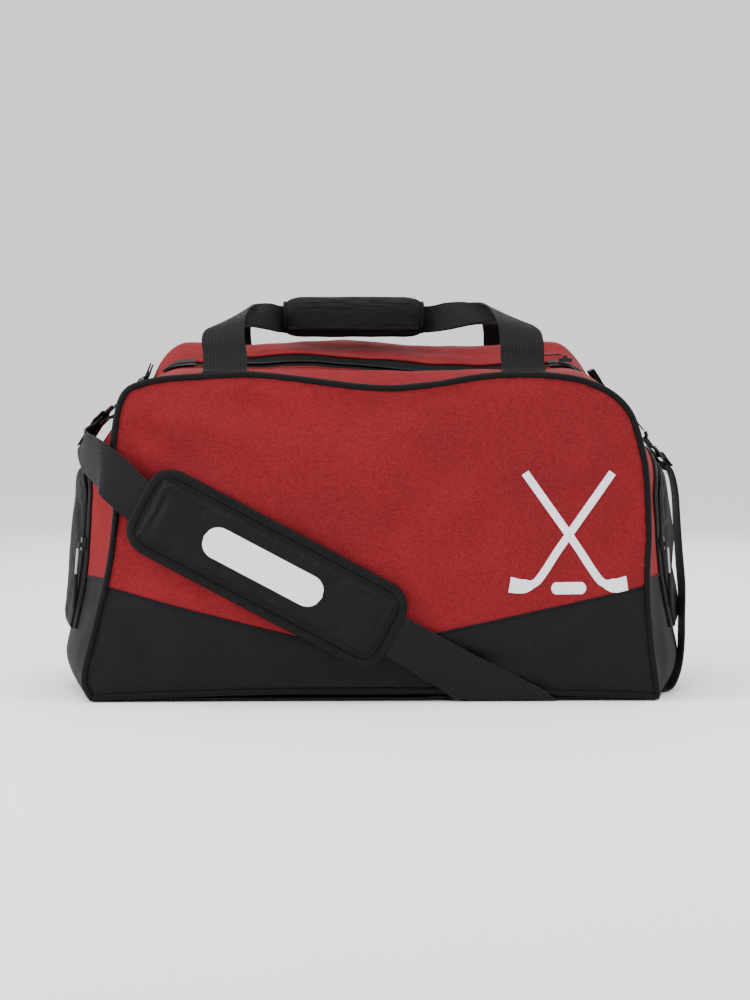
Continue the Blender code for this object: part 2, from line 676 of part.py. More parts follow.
def shoulder_pad():
    """A padded sleeve: the strap runs through its slot."""
    place = axes(PAD_CENTRE, PAD_ALONG, Vector((0, 1, 0)), PAD_ACROSS)
    length, thick, wide = PAD_SIZE
    outline = []
    reach_x, reach_z = length / 2 - PAD_CORNER, wide / 2 - PAD_CORNER
    for sign_x, sign_z, start in ((1, 1, 0), (-1, 1, 90), (-1, -1, 180), (1, -1, 270)):
        for a in steps(start, start + 90, 5):
            outline.append((sign_x * reach_x + PAD_CORNER * math.cos(math.radians(a)),
                            sign_z * reach_z + PAD_CORNER * math.sin(math.radians(a))))
    bm = bmesh.new()
    face = bm.faces.new([bm.verts.new((x, -thick / 2, z)) for x, z in outline])
    raised = bmesh.ops.extrude_face_region(bm, geom=[face])
    bmesh.ops.translate(bm, verts=[v for v in raised["geom"] if isinstance(v, bmesh.types.BMVert)],
                        vec=(0, thick, 0))
    bmesh.ops.recalc_face_normals(bm, faces=bm.faces[:])
    mesh = bpy.data.meshes.new("shoulder_pad")
    bm.to_mesh(mesh)
    bm.free()
    pad = link("shoulder_pad", mesh)
    pad.matrix_world = place
    slot = link("pad_slot", block_mesh("pad_slot", (length * 1.1, *PAD_SLOT)), cutters)
    slot.matrix_world = place
    slot.hide_render = True
    slot.display_type = "WIRE"
    cut = pad.modifiers.new("slot", "BOOLEAN")
    cut.operation = "DIFFERENCE"
    cut.object = slot
    finish(pad, "black_cloth")


def on_shoulder(point):
    """The nearest point of a shoulder at the same depth, and the direction out of it."""
    side = math.copysign(1.0, point.x)
    best = None
    for s in steps(rim_at_height(0.220), rim_at_x(-0.170), 80):
        near = skin(s, point.y)
        ahead = skin(s + 0.002, point.y)
        place = Vector((-side * near.x, near.y, near.z))
        distance = (place - point).length
        if best is None or distance < best[0]:
            rise, run = ahead.z - near.z, ahead.x - near.x
            best = (distance, place, Vector((side * rise, 0, run)).normalized())
    return best[1], best[2]


def strap_end(side_name, bar, strap_start, outward):
    """Ring tab, D-ring, snap hook, gate and sewn webbing loop between the bag and the strap."""
    down = (strap_start - bar).normalized()
    out = (outward - down * outward.dot(down)).normalized()
    wide = down.cross(out).normalized()
    place = axes(bar, wide, down, out)

    def local(w, d, o):
        return place @ Vector((w, d, o))

    def wire(points, radius, cyclic=False):
        return tube_mesh("wire", points, radius, cyclic)

    # The tab is one piece of webbing folded round the ring's bar, with both layers sewn to the shoulder.
    half = wide * 0.0185
    sewn = [on_shoulder(local(0, -d, 0)) for d in (0.0340, 0.0230, 0.0120)]
    turn = [(0.0000, -0.0032), (0.0027, -0.0018), (0.0033, 0.0000), (0.0027, 0.0018), (0.0000, 0.0032)]
    tab = [(foot + up * TAB_LIFT, half - up * half.dot(up)) for foot, up in sewn]
    tab += [(local(0, d, o), half) for d, o in turn]
    tab += [(foot + up * (TAB_LIFT + 0.0024), half - up * half.dot(up)) for foot, up in reversed(sewn)]
    ribbon("ring_tab_" + side_name, tab, 0.0016, "webbing", per_span=2)

    ring = [(-0.0210, 0.0), (0.0, 0.0), (0.0210, 0.0), (0.0222, 0.0040), (0.0205, 0.0120), (0.0150, 0.0195),
            (0.0080, 0.0235), (0.0, 0.0248), (-0.0080, 0.0235), (-0.0150, 0.0195), (-0.0205, 0.0120),
            (-0.0222, 0.0040)]
    tube("d_ring_" + side_name, [local(w, d, 0) for w, d in ring], RING_WIRE, "dark_metal", cyclic=True)

    # The hook's eye is turned 45 degrees, so that it lies close to the bag.
    slant = math.sqrt(0.5)
    eye = through([(0.0455, 0.0060), (0.0498, 0.0040), (0.0510, 0.0000), (0.0498, -0.0040), (0.0440, -0.0060),
                   (0.0360, -0.0062), (0.0270, -0.0060), (0.0215, -0.0040), (0.0200, 0.0000), (0.0215, 0.0040),
                   (0.0275, 0.0060)], 2)
    hook = [wire([(e * slant, d, e * slant) for d, e in eye], 0.0018)]
    stem = Matrix.Translation((0, 0.0560, 0))
    hook.append(block_mesh("stem", (0.0050, 0.0120, 0.0050), stem))
    bail = [(-0.0225, 0.0610), (0.0225, 0.0610), (0.0235, 0.0625), (0.0235, 0.0705), (0.0225, 0.0720),
            (-0.0225, 0.0720), (-0.0235, 0.0705), (-0.0235, 0.0625)]
    hook.append(wire([(w, d, 0) for w, d in bail], 0.0018, True))
    join("snap_hook_" + side_name, hook, "dark_metal", place)

    gate = [local(0.0060 * slant, d, 0.0060 * slant) for d in (0.0440, 0.0290)]
    tube("hook_gate_" + side_name, gate, 0.0013, "silver")

    loop = [(0.0870, -0.0034), (0.0820, -0.0032), (0.0760, -0.0034), (0.0715, -0.0036), (0.0690, -0.0020),
            (0.0684, 0.0000), (0.0690, 0.0020), (0.0715, 0.0036), (0.0760, 0.0034), (0.0820, 0.0032),
            (0.0870, 0.0034)]
    half = wide * 0.0195
    ribbon("strap_loop_" + side_name, [(local(0, d, o), half) for d, o in loop], 0.0014, "webbing", per_span=2)


face_panels("front", -1)
face_panels("rear", 1)
piping("front_piping", -1)
piping("rear_piping", 1)
end_panels()
top_panels()
base()
main_zip()
pocket("left", -1)
pocket("right", 1)
handle("front_handle", -1)
handle("rear_handle", 1)
grip()
strap()
shoulder_pad()
strap_end("left", Vector((-0.2290, -0.0050, 0.2800)), STRAP_ROUTE[0][0], Vector((-0.754, 0.123, 0.645)))
strap_end("right", Vector((0.2340, 0.0010, 0.2770)), STRAP_ROUTE[-1][0], Vector((0.789, 0.0, 0.614)))
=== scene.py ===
"""Looks of a soft sports duffel bag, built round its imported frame."""

import math

import bmesh
import bpy
import numpy as np
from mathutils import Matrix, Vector, noise


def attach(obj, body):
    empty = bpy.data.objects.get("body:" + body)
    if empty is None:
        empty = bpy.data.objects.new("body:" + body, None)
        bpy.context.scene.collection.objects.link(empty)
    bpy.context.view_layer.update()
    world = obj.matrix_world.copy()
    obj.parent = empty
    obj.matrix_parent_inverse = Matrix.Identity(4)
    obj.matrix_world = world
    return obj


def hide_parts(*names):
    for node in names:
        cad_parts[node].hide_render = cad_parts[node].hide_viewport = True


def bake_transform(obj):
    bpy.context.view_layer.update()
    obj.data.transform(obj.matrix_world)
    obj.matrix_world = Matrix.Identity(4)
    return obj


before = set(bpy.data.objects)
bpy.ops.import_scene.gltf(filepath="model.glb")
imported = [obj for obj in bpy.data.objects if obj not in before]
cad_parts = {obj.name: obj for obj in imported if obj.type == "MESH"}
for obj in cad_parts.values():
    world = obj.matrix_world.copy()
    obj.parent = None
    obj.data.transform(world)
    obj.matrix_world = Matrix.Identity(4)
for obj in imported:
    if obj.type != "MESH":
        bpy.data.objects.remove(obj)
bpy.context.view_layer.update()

# ---- sizes, in metres, as in the frame ----
HALF_DEPTH = 0.140
PIPING_R = 0.0031
CLOTH = 0.0016
END_BULGE = 0.032
SHOULDER_Z = 0.275
SHOULDER_FADE = 0.075
CREST_END_X = 0.225
CREST_FADE = 0.045
SEAM_Z = 0.111
ZIP_Y = -0.035
MOUTH_X = 0.168
ZIP_END_X = 0.197
FRONT_HINGE_Y = -0.105
REAR_HINGE_Y = 0.070
POCKET_HALF = 0.075
POCKET_LOW = 0.062
POCKET_TOP = 0.215
POCKET_CORNER = 0.036
GRIP_X = (-0.084, 0.049)
GRIP_Z = 0.352
PAD_CENTRE = Vector((-0.098, -0.1572, 0.123))
PAD_TILT = math.radians(28)
PAD_SIZE = (0.258, 0.010, 0.078)
PAD_CORNER = 0.022
WEBBING = 0.040
UP = np.array([0.0, 0.0, 1.0])

# The shell's outline: the frame's half outline, and the front edge as the soft cloth has settled.
OUTLINE = [(0.2600, 0.0035), (0.2650, 0.0220), (0.2570, 0.0650), (0.2470, 0.1150), (0.2425, 0.1800),
           (0.2405, 0.2320), (0.2300, 0.2680), (0.2050, 0.2885), (0.1600, 0.2965), (0.0800, 0.2945),
           (0.0000, 0.2880)]
FRONT_OUTLINE = [(-0.2590, 0.0035), (-0.2650, 0.0220), (-0.2545, 0.0700), (-0.2425, 0.1200),
                 (-0.2350, 0.1750), (-0.2375, 0.2320), (-0.2290, 0.2780), (-0.2050, 0.2910),
                 (-0.1640, 0.2960), (-0.1100, 0.2980),
                 (-0.0500, 0.2915), (0.0050, 0.2855), (0.0500, 0.2885), (0.1000, 0.2965), (0.1560, 0.2975),
                 (0.2000, 0.2890), (0.2310, 0.2650), (0.2455, 0.2200), (0.2500, 0.1650), (0.2490, 0.1050),
                 (0.2530, 0.0520), (0.2590, 0.0035)]
TOP_PROFILE = [(-0.140, 0.2965), (-0.105, 0.3025), (-0.035, 0.3065), (0.000, 0.3200), (0.030, 0.3305),
               (0.070, 0.3280), (0.110, 0.3150), (0.140, 0.2965)]


# ---- camera, lights and floor ----
def studio():
    camera_data = bpy.data.cameras.new("camera")
    camera_data.lens = 85
    camera_data.sensor_width = 36
    camera = bpy.data.objects.new("camera", camera_data)
    bpy.context.scene.collection.objects.link(camera)
    target = Vector((0.0, -HALF_DEPTH, 0.184))
    camera.location = (-0.050, -HALF_DEPTH - 2.147, 0.290)
    camera.rotation_euler = (target - camera.location).to_track_quat("-Z", "Y").to_euler()
    bpy.context.scene.camera = camera

    def area(name, place, aim, size, power):
        data = bpy.data.lights.new(name, "AREA")
        data.shape = "RECTANGLE"
        data.size, data.size_y = size
        data.energy = power
        lamp = bpy.data.objects.new(name, data)
        lamp.location = place
        lamp.rotation_euler = (Vector(aim) - Vector(place)).to_track_quat("-Z", "Y").to_euler()
        bpy.context.scene.collection.objects.link(lamp)

    area("top_light", (0.0, -0.35, 1.75), (0, 0, 0.15), (1.5, 1.0), 22)
    area("left_light", (-1.75, -0.75, 1.05), (0, 0, 0.15), (0.6, 1.1), 36)
    area("right_light", (1.75, -0.85, 0.85), (0, 0, 0.15), (0.7, 1.3), 13)
    area("front_light", (0.15, -2.6, 1.0), (0, 0, 0.15), (1.6, 1.1), 5)
    area("rear_light", (0.3, 1.8, 1.2), (0, 0, 0.2), (1.6, 1.2), 14)

    world = bpy.data.worlds.new("world")
    world.use_nodes = True
    background = world.node_tree.nodes["Background"]
    background.inputs["Color"].default_value = (1.0, 1.0, 1.0, 1.0)
    background.inputs["Strength"].default_value = 1.20
    bpy.context.scene.world = world

    bm = bmesh.new()
    bmesh.ops.create_grid(bm, x_segments=8, y_segments=8, size=6.0)
    mesh = bpy.data.meshes.new("studio_floor")
    bm.to_mesh(mesh)
    bm.free()
    floor = bpy.data.objects.new("studio_floor", mesh)
    floor.location.z = -0.0006
    bpy.context.scene.collection.objects.link(floor)
    material = bpy.data.materials.new("pale_floor")
    material.use_nodes = True
    shader = material.node_tree.nodes["Principled BSDF"]
    shader.inputs["Base Color"].default_value = (0.98, 0.98, 0.98, 1.0)
    shader.inputs["Roughness"].default_value = 0.85
    floor.data.materials.append(material)


# ---- materials ----
class Nodes:
    """A small builder for one material's node tree."""

    def __init__(self, name):
        self.material = bpy.data.materials.new(name)
        self.material.use_nodes = True
        self.tree = self.material.node_tree
        self.shader = self.tree.nodes["Principled BSDF"]

    def add(self, kind, **settings):
        node = self.tree.nodes.new(kind)
        for key, value in settings.items():
            setattr(node, key, value)
        return node

    def link(self, source, target):
        self.tree.links.new(source, target)

    def noise(self, scale, stretch=(1, 1, 1), detail=2.0, rough=0.5):
        """Noise over the object's own space, in cycles per metre."""
        place = self.add("ShaderNodeTexCoord")
        mapping = self.add("ShaderNodeMapping")
        mapping.inputs["Scale"].default_value = stretch
        self.link(place.outputs["Object"], mapping.inputs["Vector"])
        texture = self.add("ShaderNodeTexNoise")
        texture.inputs["Scale"].default_value = scale
        texture.inputs["Detail"].default_value = detail
        texture.inputs["Roughness"].default_value = rough
        self.link(mapping.outputs["Vector"], texture.inputs["Vector"])
        return texture.outputs["Fac"]

    def math(self, operation, a, b=None):
        node = self.add("ShaderNodeMath", operation=operation)
        for i, value in enumerate((a, b)):
            if value is None:
                continue
            if isinstance(value, (int, float)):
                node.inputs[i].default_value = value
            else:
                self.link(value, node.inputs[i])
        return node.outputs[0]

    def attribute(self, name):
        return self.add("ShaderNodeAttribute", attribute_name=name).outputs["Fac"]

    def ramp(self, value, stops):
        node = self.add("ShaderNodeValToRGB")
        ramp = node.color_ramp
        while len(ramp.elements) < len(stops):
            ramp.elements.new(0.5)
        for element, (place, colour) in zip(ramp.elements, stops):
            element.position = place
            element.color = (*colour, 1.0)
        self.link(value, node.inputs["Fac"])
        return node.outputs["Color"]

    def bump(self, height, strength, distance):
        node = self.add("ShaderNodeBump")
        node.inputs["Strength"].default_value = strength
        node.inputs["Distance"].default_value = distance
        self.link(height, node.inputs["Height"])
        self.link(node.outputs["Normal"], self.shader.inputs["Normal"])

    def set(self, **values):
        for key, value in values.items():
            self.shader.inputs[key.replace("_", " ")].default_value = value


def shades(colour, *factors):
    return [tuple(min(1.0, c * f) for c in colour) for f in factors]


def woven(name, colour, contrast, thread, roughness, sheen, bump=0.35):
    """Plain-weave cloth: crossed threads of slightly different colours, with broad soft variation."""
    n = Nodes(name)
    upright = n.noise(1 / thread, (1, 1, 0.16), 1.0)
    level = n.noise(1 / thread, (0.16, 0.16, 1), 1.0)
    weave = n.math("MULTIPLY", n.math("ADD", upright, level), 0.5)
    cloudy = n.noise(7.0, (1, 1, 1), 2.0)
    mixed = n.math("ADD", n.math("MULTIPLY", weave, 0.80), n.math("MULTIPLY", cloudy, 0.20))
    low, dark, mid, light, high = shades(colour, 1 - 1.6 * contrast, 1 - contrast, 1.0, 1 + contrast,
                                         1 + 1.9 * contrast)
    n.link(n.ramp(mixed, [(0.30, low), (0.42, dark), (0.50, mid), (0.58, light), (0.70, high)]),
           n.shader.inputs["Base Color"])
    n.link(n.math("ADD", n.math("MULTIPLY", cloudy, 0.16), roughness - 0.08), n.shader.inputs["Roughness"])
    n.bump(weave, bump, 0.0005)
    n.set(Sheen_Weight=sheen, Sheen_Roughness=0.45, Specular_IOR_Level=0.10)
    n.shader.inputs["Sheen Tint"].default_value = (*shades(colour, 2.2)[0], 1.0)
    return n.material


def ribbed(name, colour, ribs=13.0, weave=0.0016, roughness=0.62):
    """Webbing: ribs along its length crossed by the weft. Reads the across and along attributes."""
    n = Nodes(name)
    across, along = n.attribute("across"), n.attribute("along")
    rib = n.math("SINE", n.math("MULTIPLY", across, ribs * math.pi))
    weft = n.math("SINE", n.math("ADD", n.math("MULTIPLY", along, 2 * math.pi / weave),
                                 n.math("MULTIPLY", rib, 0.9)))
    height = n.math("ADD", n.math("MULTIPLY", rib, 0.5), n.math("MULTIPLY", weft, 0.35))
    fuzz = n.noise(1400.0, (1, 1, 1), 1.0)
    tone = n.math("ADD", n.math("MULTIPLY", height, 0.28), n.math("ADD", n.math("MULTIPLY", fuzz, 0.5), 0.25))
    dark, mid, light = shades(colour, 0.50, 1.0, 1.9)
    n.link(n.ramp(tone, [(0.25, dark), (0.5, mid), (0.78, light)]), n.shader.inputs["Base Color"])
    n.link(n.math("ADD", n.math("MULTIPLY", fuzz, 0.2), roughness - 0.1), n.shader.inputs["Roughness"])
    n.bump(height, 0.7, 0.0006)
    n.set(Sheen_Weight=0.02, Specular_IOR_Level=0.12)
    return n.material


def moulded(name, colour, roughness, grain=900.0, bump=0.12, metallic=0.0):
    """Plastic, rubber or metal with fine grain and rubbed patches."""
    n = Nodes(name)
    fine = n.noise(grain, (1, 1, 1), 2.0)
    worn = n.noise(70.0, (1, 1, 1), 3.0)
    dark, mid, light = shades(colour, 0.80, 1.0, 1.25)
    n.link(n.ramp(worn, [(0.32, dark), (0.5, mid), (0.72, light)]), n.shader.inputs["Base Color"])
    n.link(n.math("ADD", n.math("MULTIPLY", worn, 0.24), roughness - 0.12), n.shader.inputs["Roughness"])
    n.bump(fine, bump, 0.0003)
    n.set(Metallic=metallic, Specular_IOR_Level=0.5 if metallic else 0.2)
    return n.material


def printed(name):
    """Screen print on cloth: the weave shows through faintly."""
    n = Nodes(name)
    weave = n.noise(1 / 0.0008, (1, 1, 0.4), 1.0)
    n.link(n.ramp(weave, [(0.30, (0.62, 0.59, 0.66)), (0.55, (0.78, 0.75, 0.83))]),
           n.shader.inputs["Base Color"])
    n.link(n.math("ADD", n.math("MULTIPLY", weave, 0.2), 0.5), n.shader.inputs["Roughness"])
    n.bump(weave, 0.25, 0.0003)
    return n.material


RED = (0.152, 0.0090, 0.0122)
BLACK = (0.0062, 0.0060, 0.0074)
MATERIALS = {
    "red_cloth": woven("red_heather_cloth", RED, 0.20, 0.00062, 0.78, 0.02),
    "black_cloth": woven("black_fine_cloth", BLACK, 0.16, 0.00060, 0.62, 0.02, 0.25),
    "pad_cloth": woven("black_pad_cloth", shades(BLACK, 0.92)[0], 0.12, 0.00050, 0.60, 0.02, 0.2),
    "piping": woven("black_piping_cloth", (0.0030, 0.0030, 0.0031), 0.25, 0.00060, 0.55, 0.01, 0.4),
    "binding": woven("black_binding_tape", (0.0040, 0.0040, 0.0043), 0.30, 0.00070, 0.55, 0.01, 0.5),
    "webbing": ribbed("black_webbing", (0.0052, 0.0052, 0.0056)),
    "zip_tape": woven("black_zip_tape", (0.0036, 0.0036, 0.0038), 0.25, 0.00080, 0.60, 0.01, 0.4),
    # The teeth are black plastic, but their base colour is lifted well above the tape's black as a painted
    # highlight that stands in for glints on the teeth.
    "teeth": moulded("black_zip_teeth_painted_glint", (0.0160, 0.0160, 0.0170), 0.30),
    "thread": moulded("dark_thread", (0.0130, 0.0130, 0.0140), 0.55, 1800.0, 0.3),
    "red_thread": moulded("red_thread", (0.130, 0.0065, 0.0070), 0.60, 1800.0, 0.3),
    "silver": moulded("bright_nickel", (0.42, 0.42, 0.44), 0.30, 600.0, 0.05, 1.0),
    "dark_metal": moulded("gunmetal", (0.030, 0.030, 0.033), 0.36, 600.0, 0.06, 1.0),
    "rubber": moulded("black_rubber", (0.0060, 0.0060, 0.0064), 0.52, 1200.0, 0.2),
    "board": moulded("dark_board", (0.045, 0.045, 0.045), 0.60),
    "print": printed("white_screen_print"),
}


# ---- curves and surfaces of the shell ----
def smooth(t):
    t = np.clip(t, 0.0, 1.0)
    return t * t * (3.0 - 2.0 * t)


def through(points, per_span):
    """Points along the smooth curve through the given ones (Catmull-Rom)."""
    p = np.array(points, float)
    p = np.vstack([2 * p[0] - p[1], p, 2 * p[-1] - p[-2]])
    out = []
    for i in range(1, len(p) - 2):
        for k in range(per_span):
            t = k / per_span
            out.append(0.5 * (2 * p[i] + (p[i + 1] - p[i - 1]) * t
                              + (2 * p[i - 1] - 5 * p[i] + 4 * p[i + 1] - p[i + 2]) * t * t
                              + (3 * p[i] - p[i - 1] - 3 * p[i + 1] + p[i + 2]) * t ** 3))
    out.append(p[-2])
    return np.array(out)


def run_lengths(points):
    """How far along a polyline each of its points lies."""
    return np.concatenate([[0.0], np.cumsum(np.linalg.norm(np.diff(points, axis=0), axis=1))])


def at_length(place, lengths, values):
    return np.array([np.interp(place, lengths, values[:, i]) for i in range(3)])


class Rim:
    """An outline in the XZ plane, from the left foot over the top to the right foot."""

    def __init__(self, points):
        self.points = through(points, 24)
        self.s = run_lengths(self.points)
        self.length = self.s[-1]
        normal = np.gradient(self.points, axis=0)
        normal = np.stack([-normal[:, 1], normal[:, 0]], axis=1)
        self.normals = normal / np.linalg.norm(normal, axis=1)[:, None]

    def at(self, s):
        return (np.array([np.interp(s, self.s, self.points[:, i]) for i in (0, 1)]),
                np.array([np.interp(s, self.s, self.normals[:, i]) for i in (0, 1)]))

    def at_height(self, z):
        half = len(self.points) // 4
        return float(np.interp(z, self.points[:half, 1], self.s[:half]))

    def at_x(self, x):
        middle = slice(len(self.points) // 4, 3 * len(self.points) // 4)
        return float(np.interp(x, self.points[middle, 0], self.s[middle]))


RIM = Rim([(-x, z) for x, z in OUTLINE] + OUTLINE[-2::-1])
FRONT_RIM = Rim(FRONT_OUTLINE)
TOP = through(TOP_PROFILE, 12)
FLAT_Z = OUTLINE[8][1]


def top_height(y):
    return float(np.interp(y, TOP[:, 0], TOP[:, 1]))


def ripple(point, size, amount, seed=0.0):
    """Smooth fixed noise of a given size, in metres."""
    place = (point[0] / size + seed, point[1] / size - seed, point[2] / size + 0.3)
    return amount * noise.noise(Vector(place))


def front_pull(s_share):
    """How far the settled front edge stands from the frame's outline, at a share of the way round."""
    settled, _ = FRONT_RIM.at(nearest_share(s_share) * FRONT_RIM.length)
    plain, _ = RIM.at(s_share * RIM.length)
    return settled - plain


def build_share_table():
    """Matches each place on the frame's outline to the settled front edge by angle from the middle."""
    centre = np.array([0.0, 0.13])

    def angle(points):
        d = points - centre
        return np.unwrap(np.arctan2(d[:, 0], d[:, 1]))
    plain, settled = angle(RIM.points), angle(FRONT_RIM.points)
    shares = np.interp(plain, settled, FRONT_RIM.s / FRONT_RIM.length)
    shares[0], shares[-1] = 0.0, 1.0
    return RIM.s / RIM.length, shares


SHARE_PLAIN, SHARE_FRONT = build_share_table()


def nearest_share(share):
    return float(np.interp(share, SHARE_PLAIN, SHARE_FRONT))


def mouth_sag(x, y):
    """The zip line and the crest behind it wander up and down between the zip's ends."""
    hold = float(smooth((MOUTH_X - abs(x)) / 0.05))
    zip_wave = 0.0052 * math.cos((x + 0.078) / 0.055) * hold - 0.0012 * hold
    crest_wave = 0.0035 * math.cos((x + 0.035) / 0.040) * hold - 0.0020 * hold
    near_zip = math.exp(-((y - ZIP_Y) / 0.042) ** 2)
    near_crest = math.exp(-((y - 0.035) / 0.045) ** 2)
    reach = (y - ZIP_Y) / 0.012
    zip_wave += 0.0046 * max(-1.0, min(1.0, reach)) * hold
    return zip_wave * near_zip + crest_wave * near_crest


def skin(s, y, detail=True):
    """A point on the band round the bag between the two pipings, with its soft unevenness."""
    point, normal = RIM.at(s)
    v = y / HALF_DEPTH
    foot = 0.55 + 0.45 * float(smooth(point[1] / 0.040))
    shoulder = float(smooth((SHOULDER_Z - point[1]) / SHOULDER_FADE))
    side = END_BULGE * foot * shoulder * (1.0 - v * v)
    on_top = float(smooth((normal[1] - 0.30) / 0.65))
    level = float(smooth((0.2050 - abs(point[0])) / 0.035))
    lean = (1.0 - level) * normal + level * np.array([0.0, 1.0])
    outward = math.copysign(1.0, point[0])
    ease = float(smooth((HALF_DEPTH - abs(y)) / (HALF_DEPTH + FRONT_HINGE_Y)))
    crest = float(smooth((CREST_END_X - abs(point[0])) / CREST_FADE))
    rise = (top_height(y) - FLAT_Z) * crest + (FLAT_Z - point[1]) * ease * level
    out = np.array([point[0] + outward * side * (1.0 - on_top) + lean[0] * rise * on_top, y,
                    point[1] + lean[1] * rise * on_top])
    if not detail:
        return out
    if y < 0:
        near_front = float(smooth((-y - 0.085) / 0.052))
        pull = front_pull(s / RIM.length) * near_front
        out[0] += pull[0]
        out[2] += pull[1]
    held = float(smooth((HALF_DEPTH - abs(y)) / 0.030))
    ends = 1.0 - level
    soft = ripple(out, 0.055, 0.0022, 3.0) + ripple(out, 0.022, 0.0009, 7.0)
    crease = ripple((out[0] * 0.25, out[1], out[2] * 0.35), 0.016, 0.0011, 11.0) * ends
    near_piping = float(smooth(1 - (HALF_DEPTH - abs(y)) / 0.028))
    pucker = ripple((out[0], 0.0, out[2]), 0.0075, 0.0010, 5.0) * near_piping
    amount = (soft + crease) * held * (1.0 - 0.6 * pocket_zone(out)) + pucker * 0.7
    out[0] += normal[0] * amount
    out[2] += normal[1] * amount + mouth_sag(out[0], y) * on_top
    return out


def pocket_zone(point):
    """1 on an end where the pocket is sewn, so that the cloth lies flat under it, and 0 away from it."""
    if abs(point[0]) < 0.22:
        return 0.0
    inside_y = smooth((0.100 - abs(point[1])) / 0.015)
    inside_z = smooth((0.245 - point[2]) / 0.020)
    return float(inside_y * inside_z)


def rim_gap(rim, x, z, low):
    """Distance from points in the XZ plane to an outline and its bottom edge."""
    gap = np.full(np.shape(x), 1.0)
    for px, pz in rim.points[::3]:
        gap = np.minimum(gap, np.hypot(x - px, z - pz))
    return np.minimum(gap, np.maximum(z - low(x), 0.0))


def bottom_edge(x):
    return 0.0035 + 0.0062 * (1.0 - (np.asarray(x) / 0.260) ** 2)


def seam(x):
    """Height of the shallow V between red and black."""
    foot_x, foot_z = -0.020, 0.045
    end = np.where(np.asarray(x) < foot_x, -0.246, 0.249)
    t = (x - foot_x) / (end - foot_x)
    return foot_z + (0.105 - foot_z) * np.sqrt(t * t + 0.004) / math.sqrt(1.004)


# Soft folds on the front and rear: start and end in the XZ plane, half width, and height before its strength.
FOLD_STRENGTH = 1.8
FOLDS = [(-0.228, 0.262, -0.130, 0.190, 0.011, -0.0034), (-0.205, 0.274, -0.085, 0.215, 0.013, 0.0030),
         (-0.236, 0.215, -0.190, 0.150, 0.010, -0.0036), (-0.140, 0.284, -0.060, 0.236, 0.010, -0.0022),
         (0.030, 0.276, 0.105, 0.287, 0.007, -0.0030), (0.018, 0.262, 0.075, 0.225, 0.011, 0.0022),
         (-0.040, 0.281, 0.030, 0.262, 0.008, -0.0024), (0.215, 0.250, 0.165, 0.190, 0.014, 0.0026),
         (0.236, 0.205, 0.205, 0.120, 0.012, -0.0030), (-0.215, 0.110, -0.130, 0.078, 0.010, 0.0026),
         (0.225, 0.090, 0.120, 0.035, 0.012, 0.0024), (-0.235, 0.080, -0.190, 0.022, 0.011, -0.0026),
         (0.060, 0.040, 0.150, 0.030, 0.008, -0.0020), (0.100, 0.200, 0.020, 0.130, 0.022, 0.0022),
         (-0.010, 0.180, 0.090, 0.110, 0.018, -0.0020)]


def folds(x, z):
    """Height of the soft folds: each is a ridge or valley that dies away at both ends."""
    total = np.zeros(np.shape(x))
    for x0, z0, x1, z1, width, height in FOLDS:
        run = math.hypot(x1 - x0, z1 - z0)
        along = ((x - x0) * (x1 - x0) + (z - z0) * (z1 - z0)) / run ** 2
        across = ((x - x0) * (z1 - z0) - (z - z0) * (x1 - x0)) / run + 0.10 * run * along * (1 - along)
        ridge = FOLD_STRENGTH * height * np.exp(-(across / width) ** 2)
        total += ridge * smooth(along * 3) * smooth((1 - along) * 2)
    return total


def face_out(rim, x, z, seed):
    """How far a front or rear panel stands out from its piping at points in the XZ plane."""
    gap = rim_gap(rim, x, z, bottom_edge)
    crown = 0.0120 * (1.0 - np.exp(-gap / 0.050))
    held = smooth(gap / 0.022)
    flat = np.ravel(x), np.ravel(z)
    extra = []
    for px, pz in zip(*flat):
        p = (px, seed, pz)
        soft = ripple(p, 0.100, 0.0050, seed) + ripple(p, 0.042, 0.0020, seed + 2)
        lines = ripple((px * 0.9 + pz * 0.5, seed, pz * 0.22 - px * 0.1), 0.020, 0.0014, seed + 4)
        extra.append(soft + lines)
    extra = np.array(extra).reshape(np.shape(x))
    pucker = np.array([ripple((px, seed, pz), 0.0085, 0.0011, seed + 6) for px, pz in zip(*flat)])
    pucker = pucker.reshape(np.shape(x)) * smooth(1.0 - gap / 0.030) * smooth(gap / 0.004)
    seam_dip = -0.0010 * np.exp(-((z - seam(x)) / 0.0030) ** 2)
    return crown + (extra + folds(x, z)) * held + pucker + seam_dip


# ---- mesh helpers ----
def new_object(name, mesh, material):
    mesh.materials.clear()
    mesh.materials.append(MATERIALS[material])
    obj = bpy.data.objects.new(name, mesh)
    bpy.context.scene.collection.objects.link(obj)
    return obj


def mesh_from(name, verts, faces, smooth_angle=None):
    mesh = bpy.data.meshes.new(name)
    mesh.from_pydata([tuple(v) for v in verts], [], faces)
    mesh.update()
    mesh.shade_smooth()
    if smooth_angle is not None:
        mesh.set_sharp_from_angle(angle=math.radians(smooth_angle))
    return mesh


def normals_of(grid):
    across = np.gradient(grid, axis=1)
    down = np.gradient(grid, axis=0)
    normal = np.cross(across, down)
    return normal / np.maximum(np.linalg.norm(normal, axis=2), 1e-12)[:, :, None]


